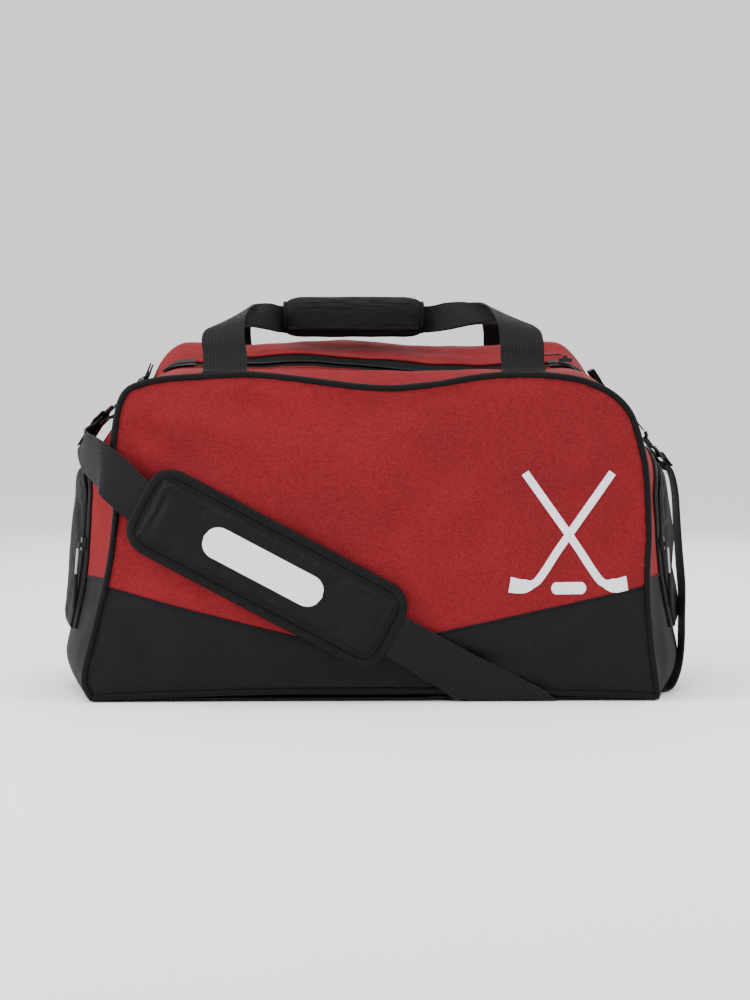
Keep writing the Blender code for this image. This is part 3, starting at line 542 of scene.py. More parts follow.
def sheet(name, grid, thickness, material, outward, across=None, along=None):
    """A closed sheet whose outer face lies on a grid of points."""
    grid = np.asarray(grid, float)
    normal = normals_of(grid)
    middle = tuple(n // 2 for n in grid.shape[:2])
    flip = normal[middle] @ np.asarray(outward(grid[middle]), float) < 0
    if flip:
        normal = -normal
    rows, columns = grid.shape[:2]
    verts = np.concatenate([grid.reshape(-1, 3), (grid - normal * thickness).reshape(-1, 3)])
    count = rows * columns

    def at(r, c):
        return r * columns + c
    faces = []
    for r in range(rows - 1):
        for c in range(columns - 1):
            quad = (at(r, c), at(r, c + 1), at(r + 1, c + 1), at(r + 1, c))
            back = tuple(count + i for i in reversed(quad))
            faces += [quad, back] if not flip else [quad[::-1], back[::-1]]
    loop = ([(0, c) for c in range(columns)] + [(r, columns - 1) for r in range(1, rows)]
            + [(rows - 1, c) for c in range(columns - 2, -1, -1)] + [(r, 0) for r in range(rows - 2, 0, -1)])
    for (r1, c1), (r2, c2) in zip(loop, loop[1:] + loop[:1]):
        a, b = at(r1, c1), at(r2, c2)
        quad = (a, count + a, count + b, b)
        faces.append(quad if not flip else quad[::-1])
    obj = new_object(name, mesh_from(name, verts, faces, 60), material)
    for key, values in (("across", across), ("along", along)):
        if values is None:
            continue
        layer = obj.data.attributes.new(key, "FLOAT", "POINT")
        both = np.concatenate([np.ravel(values), np.ravel(values)]).astype(np.float32)
        layer.data.foreach_set("value", both)
    return obj


def ribbon(name, route, thickness, material, per_span, columns):
    """Flat webbing along (centre, half width vector) pairs, with its own across and along values."""
    samples = through([(*p, *w) for p, w in route], per_span)
    centre, half = samples[:, :3], samples[:, 3:]
    along = run_lengths(centre)
    share = np.linspace(-1.0, 1.0, columns + 1)
    grid = centre[:, None, :] + half[:, None, :] * share[None, :, None]
    normal = normals_of(grid)
    grid = grid + normal * (thickness / 2)
    # The along value follows each edge too, so that oblique rulings keep the weave square.
    tangent = np.gradient(centre, axis=0)
    tangent /= np.linalg.norm(tangent, axis=1)[:, None]
    skew = np.einsum("ij,ij->i", half, tangent)
    along_grid = along[:, None] + skew[:, None] * share[None, :]
    across_grid = np.broadcast_to(share[None, :], along_grid.shape)
    return sheet(name, grid, thickness, material, lambda p: normal[tuple(n // 2 for n in grid.shape[:2])],
                 across_grid, along_grid)


def tube(name, points, radius, material, cyclic=False, sides=12, squash=None):
    """A round tube along points, as a closed mesh. squash is (direction, factor) for a flattened one."""
    p = np.asarray(points, float)
    tangent = (np.roll(p, -1, axis=0) - np.roll(p, 1, axis=0)) if cyclic else np.gradient(p, axis=0)
    tangent /= np.linalg.norm(tangent, axis=1)[:, None]
    radii = np.broadcast_to(radius, (len(p),))
    frame_x = np.cross(tangent[0], (0.0, 0.0, 1.0))
    if np.linalg.norm(frame_x) < 0.1:
        frame_x = np.cross(tangent[0], (0.0, 1.0, 0.0))
    verts = []
    for point, t, r in zip(p, tangent, radii):
        frame_x = frame_x - t * (frame_x @ t)
        frame_x /= np.linalg.norm(frame_x)
        frame_y = np.cross(t, frame_x)
        for k in range(sides):
            a = 2 * math.pi * k / sides
            offset = r * (math.cos(a) * frame_x + math.sin(a) * frame_y)
            if squash is not None:
                direction, factor = squash
                offset = offset - np.asarray(direction) * (offset @ direction) * (1 - factor)
            verts.append(point + offset)
    faces = []
    count = len(p)
    for i in range(count if cyclic else count - 1):
        j = (i + 1) % count
        for k in range(sides):
            m = (k + 1) % sides
            faces.append((i * sides + k, i * sides + m, j * sides + m, j * sides + k))
    if not cyclic:
        faces.append(tuple(range(sides))[::-1])
        faces.append(tuple((count - 1) * sides + k for k in range(sides)))
    return new_object(name, mesh_from(name, verts, faces, 50), material)


def stitch_run(points, normals, pitch=0.0030, length=0.0022, radius=0.00028):
    """Thread stitches along a polyline that lies on cloth: small raised dashes."""
    p = np.asarray(points, float)
    n = np.asarray(normals, float)
    s = run_lengths(p)
    verts, faces = [], []
    place = pitch * 0.5
    while place + length < s[-1]:
        ends = [at_length(q, s, p) for q in (place, place + length * 0.5, place + length)]
        up = at_length(place, s, n)
        up /= np.linalg.norm(up)
        run = ends[2] - ends[0]
        run /= max(np.linalg.norm(run), 1e-9)
        side = np.cross(up, run)
        base = len(verts)
        for end, lift, scale in zip(ends, (0.0, radius * 0.9, 0.0), (0.55, 1.0, 0.55)):
            for k in range(5):
                a = 2 * math.pi * k / 5
                verts.append(end + up * (lift + radius * scale * math.sin(a))
                             + side * radius * scale * math.cos(a))
        for ring in (0, 1):
            for k in range(5):
                m = (k + 1) % 5
                a, b = base + ring * 5, base + ring * 5 + 5
                faces.append((a + k, b + k, b + m, a + m))
        faces.append(tuple(base + k for k in range(5)))
        faces.append(tuple(base + 10 + k for k in reversed(range(5))))
        place += pitch
    return verts, faces


def stitches(name, runs, material="thread", **sizes):
    verts, faces = [], []
    for points, normals in runs:
        v, f = stitch_run(points, normals, **sizes)
        faces += [tuple(i + len(verts) for i in face) for face in f]
        verts += v
    return new_object(name, mesh_from(name, verts, faces), material)


def steps(low, high, count):
    return np.linspace(low, high, count + 1)


def blown(name, grid, held, outward, cap, pressure=4.0, last_frame=20):
    """The same grid once its cloth has been filled. held is 1 where the cloth is sewn down.

    Every second row and column is simulated, and the others move in between.
    """
    grid = np.asarray(grid, float)
    coarse, sewn = grid[::2, ::2], np.asarray(held)[::2, ::2]
    rows, columns = coarse.shape[:2]
    quads = [(r * columns + c, r * columns + c + 1, (r + 1) * columns + c + 1, (r + 1) * columns + c)
             for r in range(rows - 1) for c in range(columns - 1)]
    if normals_of(coarse)[rows // 2, columns // 2] @ np.asarray(outward, float) < 0:
        quads = [quad[::-1] for quad in quads]
    work = new_object(name, mesh_from(name, coarse.reshape(-1, 3), quads), "pad_cloth")
    group = work.vertex_groups.new(name="sewn")
    for i, weight in enumerate(np.ravel(sewn)):
        group.add([i], float(weight), "REPLACE")
    cloth = work.modifiers.new("cloth", "CLOTH")
    cloth.settings.quality = 6
    cloth.settings.mass = 0.2
    cloth.settings.tension_stiffness = 20
    cloth.settings.compression_stiffness = 20
    cloth.settings.bending_stiffness = 0.3
    cloth.settings.use_pressure = True
    cloth.settings.uniform_pressure_force = pressure
    cloth.settings.vertex_group_mass = "sewn"
    cloth.settings.shrink_min = -0.025
    cloth.settings.effector_weights.gravity = 0.0
    cloth.point_cache.frame_start = 1
    cloth.point_cache.frame_end = last_frame
    scene = bpy.context.scene
    for number in range(1, last_frame + 1):
        scene.frame_set(number)
    filled = work.evaluated_get(bpy.context.evaluated_depsgraph_get())
    moved = np.array([v.co[:] for v in filled.data.vertices]).reshape(coarse.shape) - coarse
    scene.frame_set(1)
    bpy.data.objects.remove(work, do_unlink=True)
    size = np.linalg.norm(moved, axis=2)
    moved *= np.minimum(1.0, cap / np.maximum(size, 1e-9))[:, :, None] * (1.0 - sewn)[:, :, None]
    down, right = np.arange(0, grid.shape[0], 2), np.arange(0, grid.shape[1], 2)
    full = np.empty(grid.shape)
    for k in range(3):
        tall = np.array([np.interp(np.arange(grid.shape[0]), down, moved[:, c, k]) for c in range(columns)]).T
        full[:, :, k] = np.array([np.interp(np.arange(grid.shape[1]), right, row) for row in tall])
    return grid + full


# ---- front and rear panels ----
def face_grid(rim, low, high, left, right, sign, seed, columns, rows):
    u, v = np.meshgrid(steps(0, 1, columns), steps(0, 1, rows))
    lows = np.array([low(t) for t in u[0]])
    highs = np.array([high(t) for t in u[0]])
    lefts = np.array([left(t) for t in v[:, 0]])
    rights = np.array([right(t) for t in v[:, 0]])
    u, v = u[:, :, None], v[:, :, None]
    flat = ((1 - v) * lows[None] + v * highs[None] + (1 - u) * lefts[:, None] + u * rights[:, None]
            - (1 - u) * (1 - v) * lows[0] - u * (1 - v) * lows[-1]
            - (1 - u) * v * highs[0] - u * v * highs[-1])
    x, z = flat[:, :, 0], flat[:, :, 1]
    out = face_out(rim, x, z, seed)
    return np.stack([x, sign * (HALF_DEPTH + out), z], axis=2)


def on_face(rim, sign, seed, x, z, lift=0.0):
    """Points on a front or rear panel's cloth at given x and z."""
    x, z = np.asarray(x, float), np.asarray(z, float)
    return np.stack([x, sign * (HALF_DEPTH + face_out(rim, x, z, seed) + lift), z], axis=-1)


def build_face(prefix, rim, sign, seed):
    inset = 0.0020
    s_seam_l = rim.at_height(0.105)
    s_seam_r = rim.length - float(np.interp(0.105, rim.points[::-1][:120, 1],
                                            (rim.length - rim.s[::-1])[:120]))
    s_foot_l, s_foot_r = 0.0015, rim.length - 0.0015
    s_top_l, s_top_r = rim.at_x(-0.226), rim.at_x(0.226)

    def edge(s):
        point, normal = rim.at(s)
        return point - normal * inset

    def seam_line(u, lift=0.0):
        a, b = edge(s_seam_l), edge(s_seam_r)
        x = a[0] + (b[0] - a[0]) * u
        return np.array([x, float(seam(x)) + lift])

    def bottom(u):
        a, b = edge(s_foot_l), edge(s_foot_r)
        x = a[0] + (b[0] - a[0]) * u
        return np.array([x, float(bottom_edge(x)) + inset])

    def between(a, b):
        return lambda t: edge(a + (b - a) * t)
    facing = np.array([0.0, sign, 0.0])
    lower = sheet(prefix + "_lower_cloth",
                  face_grid(rim, bottom, seam_line, between(s_foot_l, s_seam_l), between(s_foot_r, s_seam_r),
                            sign, seed, 170, 34), CLOTH, "black_cloth",
                  lambda p: facing)
    upper = sheet(prefix + "_upper_cloth",
                  face_grid(rim, seam_line, between(s_top_l, s_top_r), between(s_seam_l, s_top_l),
                            between(s_seam_r, s_top_r), sign, seed, 170, 84), CLOTH, "red_cloth",
                  lambda p: facing)
    share = steps(0.004, 0.996, 160)
    line = np.array([seam_line(u, -0.0022) for u in share])
    points = on_face(rim, sign, seed, line[:, 0], line[:, 1], 0.0001)
    thread = stitches(prefix + "_seam_stitches", [(points, np.broadcast_to(facing, points.shape))])
    roll = np.array([seam_line(u, -0.0002) for u in share])
    fold = tube(prefix + "_seam_fold", on_face(rim, sign, seed, roll[:, 0], roll[:, 1], 0.0002), 0.0011,
                "black_cloth", sides=8)
    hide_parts(prefix + "_panel_lower")
    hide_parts(prefix + "_panel_upper")
    for piece in (lower, upper, thread, fold):
        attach(piece, "shell")


def build_piping(prefix, rim, sign):
    loop = []
    for s in steps(0.0, rim.length, 260):
        point, normal = rim.at(s)
        sway = ripple((point[0], sign, point[1]), 0.030, 0.0006, 2.0)
        loop.append((point[0] + normal[0] * sway, sign * HALF_DEPTH, point[1] + normal[1] * sway))
    for x in steps(rim.points[-1, 0], rim.points[0, 0], 110)[1:-1]:
        loop.append((x, sign * HALF_DEPTH, float(bottom_edge(x)) + 0.0001))
    cord = tube(prefix + "_piping_cord", loop, PIPING_R, "piping", cyclic=True, sides=14)
    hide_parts(prefix + "_piping")
    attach(cord, "shell")


# ---- the band round the bag ----
BAND_EDGE = HALF_DEPTH - 0.0015      # how far the band's cloth reaches towards each piping
TEETH_ASIDE = 0.0016                 # from the zip's middle to the middle of one row of teeth
TEETH_WIDTH = 0.0030


def over_skin(s, y, aside=0.0, lift=0.0):
    """A point of the band's cloth, moved along Y and lifted."""
    return skin(s, y) + np.array([0.0, aside, lift])


def band(name, s_low, s_high, y_low, y_high, material, columns, rows):
    grid = [[skin(s, y) for y in steps(y_low, y_high, columns)] for s in steps(s_low, s_high, rows)]
    grid = np.array(grid)
    middle = np.array([0, 0, 0.14])
    return sheet(name, grid, CLOTH, material, lambda p: p - middle)


def build_ends():
    edge = BAND_EDGE
    total = RIM.length
    s_low, s_seam = RIM.at_height(0.0046), RIM.at_height(SEAM_Z)
    s_corner, s_mouth = RIM.at_height(0.262), RIM.at_x(-MOUTH_X)
    for side, flipped in (("left", False), ("right", True)):
        def span(a, b):
            return (total - a, total - b) if flipped else (a, b)
        lower = band(f"end_lower_cloth_{side}", *span(s_low, s_seam), -edge, edge, "black_cloth", 72, 30)
        upper = band(f"end_upper_cloth_{side}", *span(s_seam, s_corner), -edge, edge, "red_cloth", 72, 42)
        top = band(f"top_end_cloth_{side}", *span(s_corner, s_mouth), -edge, edge, "red_cloth", 84, 30)
        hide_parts(f"end_panel_lower_{side}")
        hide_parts(f"end_panel_upper_{side}")
        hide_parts(f"top_end_{side}")
        line = [skin(span(s_seam, s_seam)[0], y) for y in steps(-edge, edge, 60)]
        fold = tube(f"end_seam_fold_{side}", line, 0.0012, "black_cloth", sides=8)
        for piece in (lower, upper, top, fold):
            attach(piece, "shell")


def build_top():
    edge = BAND_EDGE
    s_a, s_b = RIM.at_x(-MOUTH_X), RIM.at_x(MOUTH_X)
    s_mid = RIM.at_x(0.0)
    front = band("top_front_cloth", s_a, s_b, -edge, FRONT_HINGE_Y, "red_cloth", 14, 120)
    rear = band("top_rear_cloth", s_a, s_b, REAR_HINGE_Y, edge, "red_cloth", 22, 120)
    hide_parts("top_front_strip")
    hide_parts("top_rear_strip")
    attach(front, "shell")
    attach(rear, "shell")
    tape = 0.0125
    rows = (("front", "front_mouth", FRONT_HINGE_Y, -1, 16), ("rear", "rear_mouth", REAR_HINGE_Y, 1, 30))
    halves = (("left", (s_a, s_mid), -MOUTH_X), ("right", (s_mid, s_b), MOUTH_X))
    for row, body, y_far, sign, columns in rows:
        y_cloth = ZIP_Y + sign * tape
        for half, (a, b), outer in halves:
            cloth = band(f"mouth_{row}_cloth_{half}", a, b, y_cloth, y_far, "red_cloth", columns, 64)
            grid = [[over_skin(s, ZIP_Y + sign * d, lift=-0.0009) for d in steps(0.0022, tape + 0.004, 5)]
                    for s in steps(a, b, 64)]
            strip = sheet(f"main_zip_tape_{row}_{half}", grid, 0.0008, "zip_tape", lambda p: UP)
            places = steps(a, b, 90)
            teeth = zip_teeth(f"main_zip_teeth_{row}_{half}",
                              [over_skin(s, ZIP_Y, aside=sign * TEETH_ASIDE) for s in places],
                              UP, TEETH_WIDTH, sign)
            hem = tube(f"mouth_{row}_hem_{half}", [over_skin(s, y_cloth, lift=0.0001) for s in places],
                       0.0012, "red_cloth", sides=8)
            line = np.array([over_skin(s, y_cloth + sign * 0.003, lift=0.0002) for s in places])
            thread = stitches(f"mouth_{row}_stitches_{half}", [(line, np.broadcast_to(UP, line.shape))],
                              "red_thread")
            if half == "left":
                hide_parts(f"mouth_flap_{row}")
                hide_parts(f"main_zip_{row}")
            for piece in (cloth, strip, teeth, hem, thread):
                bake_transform(piece)
    for side, sign in (("left", -1), ("right", 1)):
        places = [RIM.at_x(sign * x) for x in steps(MOUTH_X, ZIP_END_X, 10)]
        grid = [[over_skin(s, y, lift=0.0026) for y in steps(ZIP_Y - 0.012, ZIP_Y + 0.012, 8)]
                for s in places]
        tab = sheet(f"main_zip_end_tape_{side}", grid, 0.0012, "zip_tape", lambda p: UP)
        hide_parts(f"main_zip_end_{side}")
        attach(tab, "shell")
        tail = [over_skin(s, ZIP_Y, lift=0.0030) for s in places]
        for label, lateral in (("front", -1), ("rear", 1)):
            line = [p + np.array([0, lateral * TEETH_ASIDE, 0]) for p in tail]
            chain = zip_teeth(f"zip_end_teeth_{label}_{side}", line, UP, TEETH_WIDTH, lateral)
            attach(chain, "shell")


def zip_teeth(name, line, facing, width, sign, pitch=0.0017):
    """One side of a coil zip: rounded teeth set across a line, alternate sides meshing at the middle."""
    p = np.asarray(line, float)
    s = run_lengths(p)
    verts, faces = [], []
    place = pitch * (0.25 if sign < 0 else 0.75)
    while place < s[-1] - pitch * 0.3:
        centre = at_length(place, s, p)
        run = at_length(place + 0.0005, s, p) - at_length(place - 0.0005, s, p)
        run /= max(np.linalg.norm(run), 1e-9)
        up = facing - run * (facing @ run)
        up /= np.linalg.norm(up)
        side = np.cross(up, run)
        base = len(verts)
        for level, grow in ((-0.0006, 1.0), (0.0004, 1.0), (0.0009, 0.55)):
            for a, b in ((-1, -1), (1, -1), (1, 1), (-1, 1)):
                verts.append(centre + up * level + run * a * pitch * 0.30 * grow
                             + side * b * width / 2 * grow)
        for ring in (0, 4):
            for k in range(4):
                m = (k + 1) % 4
                faces.append((base + ring + k, base + ring + m, base + ring + 4 + m, base + ring + 4 + k))
        faces.append((base + 3, base + 2, base + 1, base))
        faces.append((base + 8, base + 9, base + 10, base + 11))
        place += pitch
    return new_object(name, mesh_from(name, verts, faces, 40), "teeth")


def build_base():
    outline = [skin(0.0, y, False) for y in steps(-HALF_DEPTH + 0.003, HALF_DEPTH - 0.003, 60)]
    route = [(p, w) for p, w in STRAP_ROUTE if p.z < 0.0013]
    inner = np.array([p + w for p, w in route])[:, :2]
    outer = np.array([p - w for p, w in route])[:, :2]
    grid = []
    for point in outline:
        row = []
        for t in steps(-1.0, 1.0, 150):
            x, y = abs(point[0]) * 0.998 * t, point[1]
            lift = 0.0
            if x > 0.05:
                low = np.interp(x, inner[:, 0], inner[:, 1])
                high = np.interp(x, outer[:, 0], outer[:, 1])
                low, high = min(low, high) - 0.002, max(low, high) + 0.002
                lift = 0.0024 * float(smooth((y - low) / 0.003) * smooth((high - y) / 0.003))
            row.append((x, y, 0.0004 + lift + 0.00025 * (1 + noise.noise(Vector((x * 25, y * 25, 0.0))))))
        grid.append(row)
    cloth = sheet("base_cloth", grid, -0.0022, "black_cloth", lambda p: (0, 0, 1))
    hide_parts("base_panel")
    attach(cloth, "shell")


# ---- end pockets ----
def end_point(side, y, z, lift=0.0):
    """A point over an end panel, on the left (-1) or right (1), at height z."""
    s = RIM.at_height(z)
    if side > 0:
        s = RIM.length - s
    point = skin(s, y)
    return point + np.array([side * lift, 0, 0])


def arch(t, grow):
    """(y, z) on the pocket's arched edge, t from 0 at the front foot to 1 at the rear foot."""
    half, corner = POCKET_HALF + grow, POCKET_CORNER + grow
    leg = POCKET_TOP + grow - corner - POCKET_LOW
    turn = corner * math.pi / 2
    flat = 2 * (half - corner)
    run = t * (2 * leg + 2 * turn + flat)
    if run < leg:
        return -half, POCKET_LOW + run
    run -= leg
    if run < turn:
        a = run / corner
        return -half + corner * (1 - math.cos(a)), POCKET_LOW + leg + corner * math.sin(a)
    run -= turn
    if run < flat:
        return -half + corner + run, POCKET_TOP + grow
    run -= flat
    if run < turn:
        a = run / corner
        return half - corner + corner * math.sin(a), POCKET_LOW + leg + corner * math.cos(a)
    return half, POCKET_LOW + leg - (run - turn)


def build_pocket(name, side):
    rows, sewn = [], []
    for j in steps(0, 1, 60):
        v = 1 - (1 - j) ** 1.5
        z = POCKET_LOW - 0.001 + (POCKET_TOP - POCKET_LOW + 0.001) * v
        over = max(0.0, z - (POCKET_TOP - POCKET_CORNER))
        half = POCKET_HALF - POCKET_CORNER + math.sqrt(max(POCKET_CORNER ** 2 - over ** 2, 0.0))
        row = []
        for y in steps(-half, half, 60):
            across = max(0.0, 1.0 - (y / POCKET_HALF) ** 2)
            middle = (POCKET_LOW + POCKET_TOP) / 2
            up = max(0.0, 1.0 - ((z - middle) / (POCKET_TOP - middle)) ** 2)
            swell = math.sqrt(across * up)
            fold = (ripple((0.0, y, z), 0.035, 0.0022, 4.0 + side)
                    + ripple((0.0, y * 1.5, z * 0.6), 0.014, 0.0008, 9.0))
            row.append(end_point(side, y, z, 0.0029 + 0.0090 * swell + fold * min(1.0, swell * 1.6)))
            sewn.append(1.0 - float(smooth((swell - 0.15) / 0.35)))
        rows.append(row)
    rows = blown("pocket_filling_" + name, rows, np.reshape(sewn, (61, 61)), (side, 0, 0), cap=0.0015)
    flap = sheet(f"pocket_cloth_{name}", rows, 0.0014, "black_cloth", lambda p: (side, 0, 0))
    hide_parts(f"pocket_flap_{name}")
    body = "left_pocket" if side < 0 else "shell"
    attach(flap, body)
    hem_line = [end_point(side, *arch(t, -0.0015), 0.0036) for t in steps(0.0, 1.0, 150)]
    hem = tube(f"pocket_hem_{name}", hem_line, 0.0013, "binding", sides=8)
    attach(hem, body)
    run = np.array([end_point(side, *arch(t, -0.0050), 0.0052) for t in steps(0.01, 0.99, 150)])
    thread = stitches(f"pocket_stitches_{name}", [(run, np.broadcast_to((side, 0.0, 0.0), run.shape))])
    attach(thread, body)

    grid = [[end_point(side, *arch(t, g), 0.0010) for g in steps(-0.0010, 0.0130, 6)]
            for t in steps(0, 1, 150)]
    tape = sheet(f"pocket_zip_tape_{name}", grid, 0.0008, "zip_tape", lambda p: (side, 0, 0))
    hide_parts(f"pocket_zip_{name}")
    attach(tape, "shell")
    for label, grow, lateral in (("inner", 0.0034, -1), ("outer", 0.0062, 1)):
        line = [end_point(side, *arch(t, grow), 0.0017) for t in steps(0, 1, 220)]
        teeth = zip_teeth(f"pocket_zip_teeth_{label}_{name}", line, np.array([side, 0, 0.0]), 0.0028, lateral)
        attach(teeth, "shell")
    rim_line = [end_point(side, *arch(t, 0.0135), 0.0012) for t in steps(0, 1, 150)]
    rim_roll = tube(f"pocket_rim_{name}", rim_line, 0.0013, "binding", sides=8)
    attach(rim_roll, "shell")


# ---- handles and grip ----
def build_handle(name, sign):
    leg, half = 0.1360, WEBBING / 2
    lying, inner = sign * 0.0040, 0.0126

    def low(x, y, lift):
        place = skin(RIM.at_x(x), sign * y)
        return (place[0], place[1], place[2] + lift)
    left = [(low(-leg, 0.1350, 0.0012), (half, 0, 0)), (low(-leg, 0.1235, 0.0020), (half, 0, 0)),
            ((-leg - 0.001, sign * 0.1150, 0.3170), (half, 0, 0)),
            ((-leg - 0.003, sign * 0.1090, 0.3320), (half * 0.98, 0.000, 0.002)),
            ((-leg - 0.001, sign * 0.0960, 0.3450), (half * 0.90, sign * -0.004, 0.006)),
            ((-leg + 0.008, sign * 0.0740, 0.3530), (half * 0.66, sign * -0.012, 0.009)),
            ((-leg + 0.022, sign * 0.0460, 0.3560), (half * 0.32, sign * -0.0150, 0.0100)),
            ((-leg + 0.037, sign * 0.0200, 0.3545), (half * 0.08, sign * -0.009, 0.0120)),
            ((GRIP_X[0] - 0.004, sign * 0.0065, GRIP_Z), (0, sign * -0.001, inner)),
            ((GRIP_X[0] + 0.012, lying, GRIP_Z), (0, 0, inner)),
            ((-0.0400, lying, GRIP_Z), (0, 0, inner)), ((0.0000, lying, GRIP_Z), (0, 0, inner)),
            ((GRIP_X[1] - 0.010, lying, GRIP_Z), (0, 0, inner))]
    right = [((0.056, sign * 0.0065, GRIP_Z), (0, sign * 0.001, inner)),
             ((leg - 0.062, sign * 0.0160, 0.3550), (half * -0.08, sign * -0.007, 0.0125)),
             ((leg - 0.038, sign * 0.0400, 0.3580), (half * -0.35, sign * -0.014, 0.0095)),
             ((leg - 0.016, sign * 0.0720, 0.3560), (half * -0.72, sign * -0.011, 0.008)),
             ((leg - 0.003, sign * 0.0980, 0.3440), (half * -0.95, sign * -0.002, 0.004)),
             ((leg, sign * 0.1110, 0.3280), (-half, 0, 0)),
             ((leg, sign * 0.1160, 0.3140), (-half, 0, 0)),
             (low(leg, 0.1240, 0.0018), (-half, 0, 0)), (low(leg, 0.1350, 0.0012), (-half, 0, 0))]
    strap = ribbon(f"{name}_webbing", left + right, 0.0017, "webbing", per_span=10, columns=12)
    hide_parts(name)
    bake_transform(strap)
    runs = []
    for x in (-leg, leg):
        for back in (0.1335, 0.1300, 0.1265, 0.1235):
            line = [np.array(low(x + dx, back, 0.0030)) for dx in steps(-0.0175, 0.0175, 10)]
            runs.append((np.array(line), np.broadcast_to((0, sign * 0.3, 0.95), (11, 3))))
    thread = stitches(f"{name}_stitches", runs)
    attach(thread, "shell")


def grip_ring(angle, extra):
    a = math.radians(angle)
    c, s = math.cos(a), math.sin(a)
    y = (0.0125 + extra) * math.copysign(abs(c) ** 0.6, c)
    z = (0.0172 + extra) * math.copysign(abs(s) ** 0.6, s)
    return y, GRIP_Z + z


def build_grip():
    def shell(name, low, high, extra, thickness, ends, count, lengthwise, swell):
        grid = []
        for a in steps(low, high, count):
            row = []
            for t in steps(0, 1, lengthwise):
                x = ends[0] + (ends[1] - ends[0]) * t
                end = abs(2 * t - 1)
                puff = (swell * (1 - end ** 6) - 0.0042 * end ** 14
                        + ripple((x, a / 60, 0), 0.022, 0.0008, 1.0))
                y, z = grip_ring(a, extra + puff)
                row.append((x, y, z))
            grid.append(row)
        return sheet(name, grid, thickness, "pad_cloth", lambda p: (0, p[1], p[2] - GRIP_Z))
    wrap = shell("grip_wrap_cloth", 150, 440, -0.0012, 0.0022, GRIP_X, 70, 60, 0.0010)
    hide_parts("grip_wrap")
    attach(wrap, "grip")
    flap = shell("grip_flap_cloth", 86, 198, 0.0028, 0.0016, (GRIP_X[0] + 0.001, GRIP_X[1] - 0.001), 34, 60,
                 0.0012)
    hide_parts("grip_flap")
    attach(flap, "grip_cover")
    for label, x in (("left", GRIP_X[0] + 0.0005), ("right", GRIP_X[1] - 0.0005)):
        line = [(x, *grip_ring(a, -0.0052)) for a in steps(200, 440, 60)]
        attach(tube(f"grip_binding_{label}", line, 0.0018, "binding", sides=10), "grip")
        line = [(x, *grip_ring(a, -0.0016)) for a in steps(88, 197, 40)]
        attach(tube(f"grip_flap_binding_{label}", line, 0.0019, "binding", sides=10), "grip_cover")
    line = [(x, *grip_ring(198, 0.0026)) for x in steps(GRIP_X[0] + 0.004, GRIP_X[1] - 0.004, 40)]
    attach(tube("grip_flap_edge", line, 0.0015, "binding", sides=10), "grip_cover")
    runs = []
    for a in (192, 96):
        line = np.array([(x, *grip_ring(a, 0.0040)) for x in steps(GRIP_X[0] + 0.006, GRIP_X[1] - 0.006, 60)])
        facing = (0, math.cos(math.radians(a)), math.sin(math.radians(a)))
        runs.append((line, np.broadcast_to(facing, line.shape)))
    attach(stitches("grip_flap_stitches", runs), "grip_cover")


# ---- shoulder strap ----
PAD_ALONG = Vector((math.cos(PAD_TILT), 0, -math.sin(PAD_TILT)))
PAD_ACROSS = Vector((math.sin(PAD_TILT), 0, math.cos(PAD_TILT)))
PERP = PAD_ACROSS * (WEBBING / 2)


def on_pad(distance):
    return (tuple(PAD_CENTRE + PAD_ALONG * distance), tuple(PERP))


